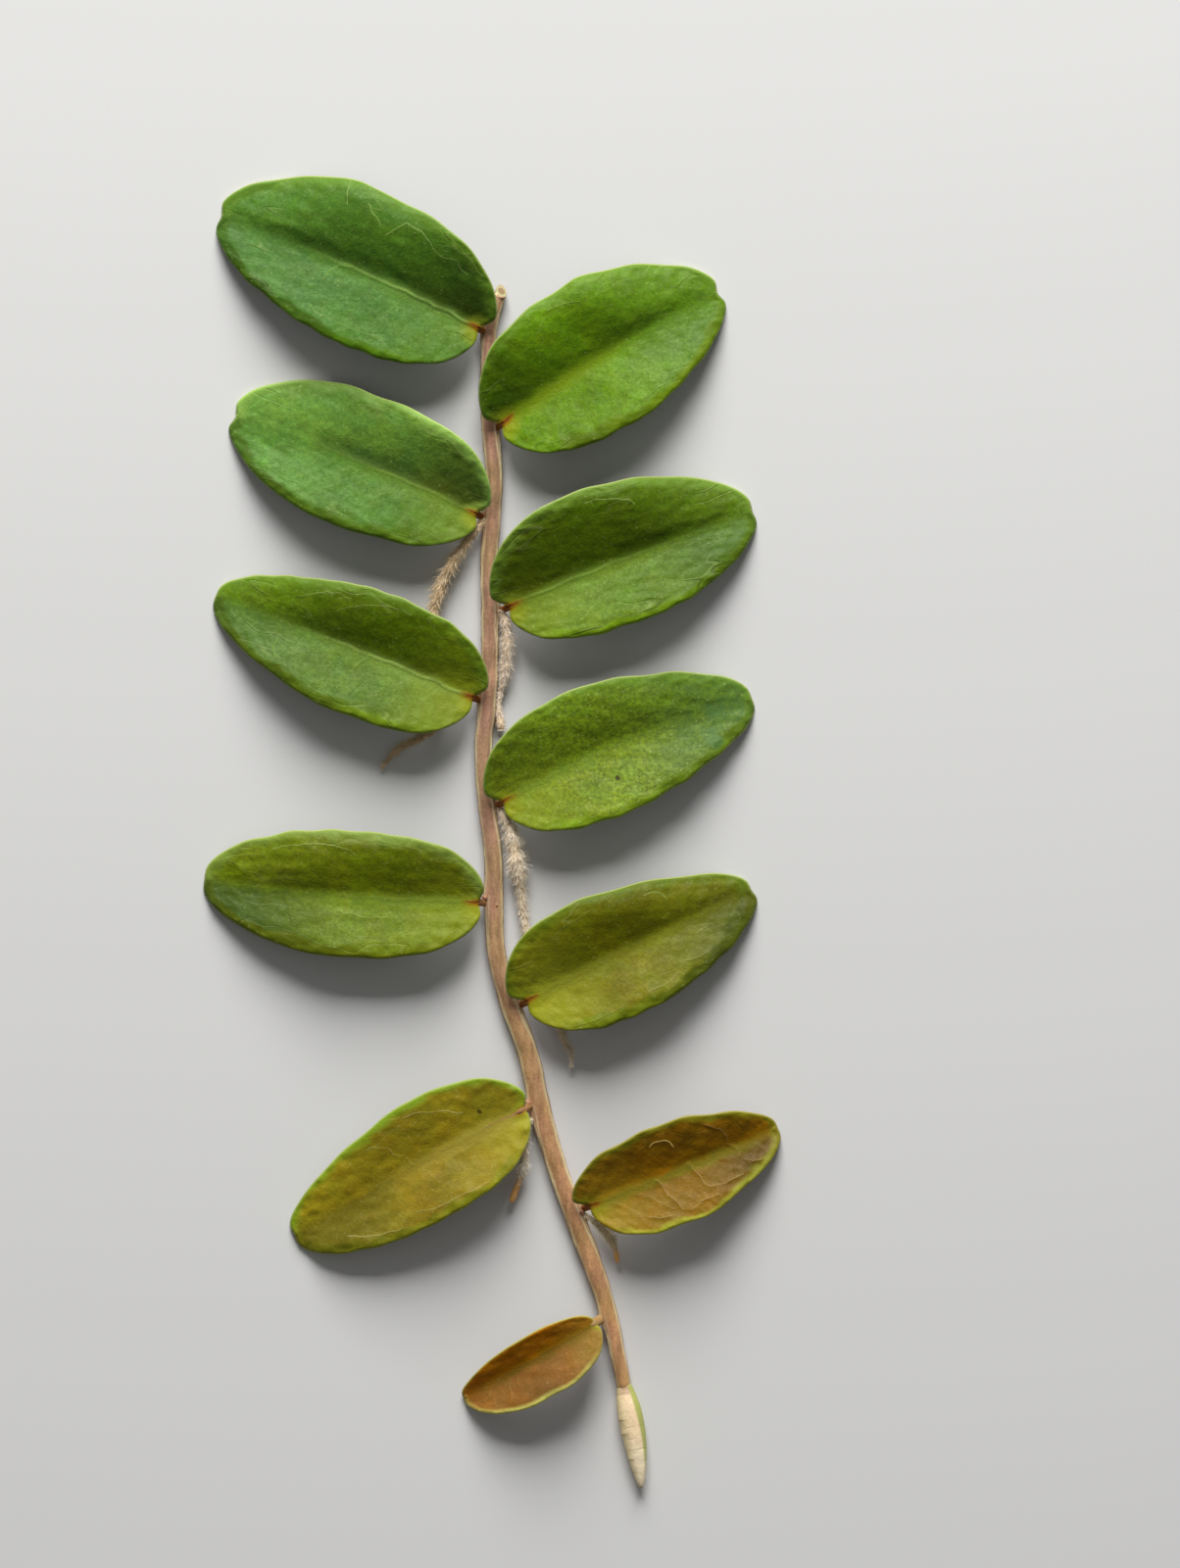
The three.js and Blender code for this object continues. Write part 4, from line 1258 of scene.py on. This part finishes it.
# x, y, z, width of the matted core and length of the hairs at points along each root, in mm
rootRows = {
    "aerial_root_left_2": (
        (-0.3, 21.55, 0.8, 0.3, 0.1), (-1.0, 20.7, 1.0, 0.4, 0.24), (-2.1, 19.2, 1.1, 0.5, 0.3),
        (-3.2, 17.4, 1.0, 0.52, 0.34), (-3.95, 15.0, 0.8, 0.42, 0.28), (-4.05, 12.0, 0.5, 0.42, 0.28),
        (-3.75, 9.2, 0.4, 0.42, 0.24), (-3.7, 7.45, 0.5, 0.42, 0.2), (-4.95, 6.45, 0.6, 0.34, 0.22),
        (-6.4, 5.65, 0.45, 0.16, 0.2), (-7.5, 4.45, 0.3, 0.08, 0.1)),
    "aerial_root_right_2": (
        (0.55, 15.15, 0.8, 0.32, 0.1), (0.95, 14.55, 0.95, 0.5, 0.22), (1.08, 13.3, 0.95, 0.6, 0.3),
        (1.05, 11.9, 0.85, 0.54, 0.28), (0.92, 10.8, 0.75, 0.44, 0.26), (0.72, 9.9, 0.62, 0.3, 0.16),
        (0.52, 9.0, 0.55, 0.26, 0.12), (0.54, 8.1, 0.5, 0.38, 0.16), (0.7, 7.0, 0.46, 0.6, 0.06)),
    "aerial_root_right_3": (
        (0.35, 2.0, 0.8, 0.3, 0.1), (0.85, 1.2, 0.95, 0.46, 0.28), (1.45, -0.2, 1.05, 0.74, 0.38),
        (1.73, -1.9, 0.95, 0.84, 0.42), (1.92, -3.2, 0.8, 0.58, 0.24), (2.08, -4.4, 0.65, 0.42, 0.2),
        (2.35, -6.3, 0.5, 0.36, 0.22), (3.2, -9.3, 0.42, 0.34, 0.22), (4.25, -12.0, 0.36, 0.28, 0.24),
        (4.9, -14.0, 0.45, 0.2, 0.24), (5.42, -14.9, 0.62, 0.1, 0.2), (5.45, -15.9, 0.55, 0.05, 0.1)),
    "aerial_root_left_5": (
        (3.05, -19.2, 0.58, 0.24, 0.06), (2.45, -19.95, 0.82, 0.36, 0.16), (2.24, -21.3, 1.0, 0.46, 0.3),
        (2.18, -22.5, 1.0, 0.48, 0.3), (2.05, -23.3, 0.95, 0.44, 0.12), (1.76, -24.1, 0.8, 0.44, 0.02),
        (1.34, -25.2, 0.65, 0.48, 0.0)),
    "aerial_root_right_5": (
        (5.9, -25.75, 0.8, 0.24, 0.12), (6.85, -26.35, 0.9, 0.28, 0.22), (7.62, -27.0, 0.9, 0.34, 0.26),
        (8.22, -27.75, 0.8, 0.36, 0.22), (8.46, -28.4, 0.7, 0.34, 0.05), (8.62, -29.3, 0.6, 0.4, 0.0)),
}
# darkest and palest hair of each root, linear
rootTints = {
    "aerial_root_left_2": ((0.74, 0.53, 0.28, 1), (0.9, 0.75, 0.52, 1)),
    "aerial_root_right_2": ((0.8, 0.62, 0.45, 1), (1.0, 0.9, 0.76, 1)),
    "aerial_root_right_3": ((0.9, 0.7, 0.46, 1), (1.0, 0.94, 0.8, 1)),
    "aerial_root_left_5": ((0.95, 0.8, 0.58, 1), (1.0, 0.96, 0.84, 1)),
    "aerial_root_right_5": ((0.95, 0.8, 0.48, 1), (1.0, 0.93, 0.74, 1)),
}


def makeCoreMaterial():
    material, w, skin, spot, grain = newMaterial("rootCore", 0.75, 0.25, 1100.0)
    colour = w.blend(w.attribute("bare"), (0.86, 0.66, 0.42, 1), (0.88, 0.47, 0.15, 1))
    colour = w.tone(colour, grain["Blotch"], 0.3, 0.7, 0.82, 1.1)
    colour = w.layer(colour, (0.76, 0.6, 0.42, 1), grain["Fleck"], 0.5)
    coverSkin(w, skin, colour, w.total(w.product(grain["Dash"], 0.05), w.product(grain["Blotch"], 0.05)))
    return material


def makeHairMaterial(name, darkest, palest):
    material, w, skin, spot, _ = newMaterial(name, 0.85, 0.2)
    colour = w.blend(w.attribute("tint"), darkest, palest)
    colour = w.tone(colour, w.noise(spot, 1600.0, 2.0), 0.3, 0.7, 0.84, 1.1)
    w.feed(skin.inputs["Base Color"], colour)
    return material


def modelHair():
    # one straight three-sided hair of width 1 and length 1, extruded and tapered
    clearSelection()
    bpy.ops.mesh.primitive_circle_add(vertices=3, radius=0.5, fill_type='NGON')
    hair = bpy.context.object
    editAll()
    for i, taper in enumerate((0.85, 0.35)):
        bpy.ops.mesh.extrude_region_move(TRANSFORM_OT_translate={"value": (0, 0, 1 / 2)})
        bpy.ops.transform.resize(value=(taper, taper, 1), center_override=(0, 0, (i + 1) / 2))
    bpy.ops.mesh.select_all(action='SELECT')
    bpy.ops.mesh.normals_make_consistent(inside=False)
    bpy.ops.object.mode_set(mode='OBJECT')
    places = vertexPlaces(hair.data)
    faces = [tuple(face.vertices) for face in hair.data.polygons]
    bpy.ops.object.delete()
    return places, faces


def unitVector(vector):
    return vector / np.linalg.norm(vector)


def feltHairs(path, seed, pattern):
    # copies of the hair in clumps that spring from the core and lean down the root
    places, faces = pattern
    dice = np.random.default_rng(seed)
    walked = walkedAlong(path)
    ahead = np.gradient(path[:, :3], axis=0)
    points, rings, tints = [], [], []
    for _ in range(int(walked[-1] / rootFelt["clumpSpacing"])):
        where = dice.uniform(0, walked[-1])
        angle = dice.uniform(-0.25 * math.pi, 1.25 * math.pi)
        lean = dice.normal(0, 0.2, 3)
        lifted = rootFelt["lift"][dice.uniform() < rootFelt["standing"]]
        shade = dice.uniform(0.15, 0.6)
        for _ in range(rootFelt["hairsPerClump"]):
            spot = np.clip(where + dice.normal(0, 0.07), 0, walked[-1])
            row = np.array([np.interp(spot, walked, path[:, k]) for k in range(5)])
            along = unitVector(ahead[min(int(np.searchsorted(walked, spot)), len(path) - 1)])
            side = unitVector(np.cross(along, (0, 0, 1.0)))
            turn = angle + dice.normal(0, 0.3)
            radial = side * math.cos(turn) + np.cross(side, along) * math.sin(turn)
            length = row[4] * dice.uniform(0.8, 2.2)
            wide = rootFelt["hairWidth"] * dice.uniform(0.7, 1.2)
            way = unitVector(radial * lifted + along + lean + dice.normal(0, 0.22, 3))
            bendWay = unitVector(np.cross(way, dice.normal(0, 1, 3)))
            tint = float(np.clip(shade + dice.uniform(0, 0.5), 0, 1))
            if length < 0.05:
                continue
            local = places * [wide, wide, length]
            local[:, 0] += rootFelt["hairCurl"] * length * places[:, 2] ** 2
            turned = local @ np.array([bendWay, np.cross(way, bendWay), way])
            world = row[:3] + radial * row[3] * rootFelt["coreShare"] + turned
            world[:, 2] = np.maximum(world[:, 2], rootFelt["lowest"])
            start = len(points) * len(places)
            points.append(world)
            rings.extend(tuple(start + k for k in face) for face in faces)
            tints.extend([tint] * len(places))
    return np.vstack(points), rings, tints


def buildRoot(node, seed, coreSkin, pattern):
    rows = np.array(rootRows[node])
    path = smoothPath(rows, max(14, int(walkedAlong(rows)[-1] / 0.3)))
    coarse = path[:, [0, 1, 2, 3, 3]]
    coarse[-1, 3:] *= rootFelt["endTaper"]
    tube = extrudeTube(pieceName(node), coarse, 10)
    smoothTube(tube, 2)
    places = vertexPlaces(tube.data)
    fine = smoothPath(rows, 800)
    walked, _, _, near, _ = tubeCoordinates(places, fine)
    woolly = softStep(0.0, 0.2, fine[near, 4])
    lumps = ripple(walked, places[:, 2] * 3 + places[:, 0] * 2, 0.9, seed)
    lumps += 0.5 * ripple(walked, places[:, 2] * 3 - places[:, 0] * 2, 0.35, seed + 100)
    centre = fine[near, :3]
    places = centre + (places - centre) * (1 + rootFelt["lumps"] * woolly * lumps)[:, None]
    places[:, 2] = np.maximum(places[:, 2], rootFelt["lowest"])
    setPlaces(tube.data, places)
    addValues(tube.data, bare=softStep(0.12, 0.02, fine[near, 4]))
    tube.data.materials.append(coreSkin)

    points, rings, tints = feltHairs(smoothPath(rows, 300), seed, pattern)
    felt = bpy.data.meshes.new("felt")
    felt.from_pydata(points.tolist(), [], rings)
    addValues(felt, tint=tints)
    felt.materials.append(makeHairMaterial(pieceName(node) + "Hair", *rootTints[node]))
    hairs = bpy.data.objects.new("felt", felt)
    bpy.context.collection.objects.link(hairs)
    finishPiece(tube, node, [hairs])


coreSkin = makeCoreMaterial()
hairPattern = modelHair()
for count, node in enumerate(rootRows):
    buildRoot(node, 40 + count, coreSkin, hairPattern)
print("five felted roots are made")


# shoot tip: a closed spindle, cream with a green hood on its right

shootTip = {
    "start": (9.0, -37.55),
    "end": (10.23, -44.6),
    # share of the length, width, height, z of the middle
    "stations": ((0.0, 0.95, 0.92, 0.52), (0.05, 1.12, 1.0, 0.54), (0.12, 1.38, 1.12, 0.6),
                 (0.22, 1.6, 1.24, 0.66), (0.3, 1.66, 1.28, 0.68), (0.42, 1.64, 1.26, 0.68),
                 (0.55, 1.52, 1.18, 0.68), (0.68, 1.3, 1.02, 0.69), (0.8, 1.02, 0.84, 0.7),
                 (0.9, 0.7, 0.62, 0.7), (0.96, 0.44, 0.42, 0.69), (1.0, 0.18, 0.2, 0.67)),
    "bulge": 0.1,  # how far the spindle bows to its right
    "hoodHeight": 0.04,
    "hoodEdge": (58, 32),  # degrees over the right side where the hood ends, and its drop to the tip
    "collar": (0.085, 0.012),  # place and width, as shares of the length
    "scaleEnds": (0.33, 0.47, 0.72),  # small steps on the left side where outer scales end
    "scaleStep": 0.03,
}


def makeTipMaterial():
    material, w, skin, spot, grain = newMaterial("shootTipSkin", 0.55, 0.4, 800.0)
    share = w.attribute("share")
    colour = w.blend(w.step(share, 0.02, 0.15), (0.52, 0.33, 0.2, 1), (1.0, 0.76, 0.47, 1))
    # paler towards the end: painted light where the spindle slopes away from the lamp
    colour = w.blend(w.step(share, 0.45, 0.75), colour, (1.0, 0.84, 0.56, 1))
    colour = w.layer(colour, (0.74, 0.62, 0.3, 1), w.attribute("flank"), 0.6)
    colour = w.tone(colour, grain["Dash"], 0.3, 0.7, 0.92, 1.06)
    colour = w.tone(colour, grain["Blotch"], 0.3, 0.7, 0.93, 1.06)
    wrinkle = w.calc('SINE', w.total(w.product(share, 58.0), w.product(grain["Blotch"], 5.0)))
    hairline = w.product(w.step(wrinkle, 0.93, 1.0), w.step(grain["Blotch"], 0.42, 0.6))
    colour = w.layer(colour, (0.44, 0.28, 0.14, 1), hairline, 0.35)
    colour = w.layer(colour, (0.4, 0.44, 0.09, 1), w.attribute("hood"), 0.9)
    colour = w.layer(colour, (0.36, 0.22, 0.13, 1), w.attribute("collar"), 0.35)
    colour = w.blend(w.step(share, 0.975, 1.0), colour, (0.3, 0.24, 0.1, 1))
    coverSkin(w, skin, colour, w.minus(w.product(grain["Dash"], 0.012), w.product(hairline, 0.01)))
    return material


def buildShootTip():
    start, end = np.array(shootTip["start"]), np.array(shootTip["end"])
    rows = []
    for share, width, height, middle in shootTip["stations"]:
        x, y = start + (end - start) * share
        rows.append((x + shootTip["bulge"] * math.sin(math.pi * share), y, middle, width, height))
    tube = extrudeTube("shootTipSkin", smoothPath(rows, 30), 20)
    smoothTube(tube, 2)
    mesh = tube.data
    places = vertexPlaces(mesh)
    walked, aside, lift, near, rightSide = tubeCoordinates(places, smoothPath(rows, 900))
    share = walked / walked.max()
    angle = np.degrees(np.arctan2(lift, aside))
    hoodEdge, hoodDrop = shootTip["hoodEdge"]
    hoodEdge = hoodEdge - hoodDrop * share
    hood = softStep(hoodEdge + 5, hoodEdge - 5, angle) * softStep(-110, -80, angle)
    hood *= softStep(0.97, 0.6, share)
    lip = np.exp(-((angle - hoodEdge) / 5) ** 2) * softStep(0.9, 0.5, share)
    place, width = shootTip["collar"]
    place = place + 0.01 * np.sin(np.radians(angle * 2))
    collar = np.exp(-((share - place) / width) ** 2) * (1 - hood)
    flank = softStep(95, 150, angle)
    push = shootTip["hoodHeight"] * (hood + 0.4 * lip)
    for scaleEnd in shootTip["scaleEnds"]:
        before = softStep(scaleEnd - 0.06, scaleEnd - 0.005, share)
        before *= softStep(scaleEnd + 0.005, scaleEnd, share)
        push += shootTip["scaleStep"] * before * flank
    push += 0.007 * ripple(walked, angle / 30, 1.6, 61)
    push -= 0.006 * np.clip(np.sin(walked * 7.2 + ripple(angle / 30, walked, 2.0, 62)), 0, 1) ** 6
    radius = np.maximum(np.hypot(aside, lift), 0.15)
    places[:, :2] += rightSide * (aside * push / radius)[:, None]
    places[:, 2] = np.maximum(places[:, 2] + lift * push / radius, 0.0)
    setPlaces(mesh, places)
    addValues(mesh, share=share, hood=hood, collar=collar, flank=flank)
    mesh.materials.append(makeTipMaterial())
    finishPiece(tube, "shoot_tip")


buildShootTip()
print("shoot tip is shaped")
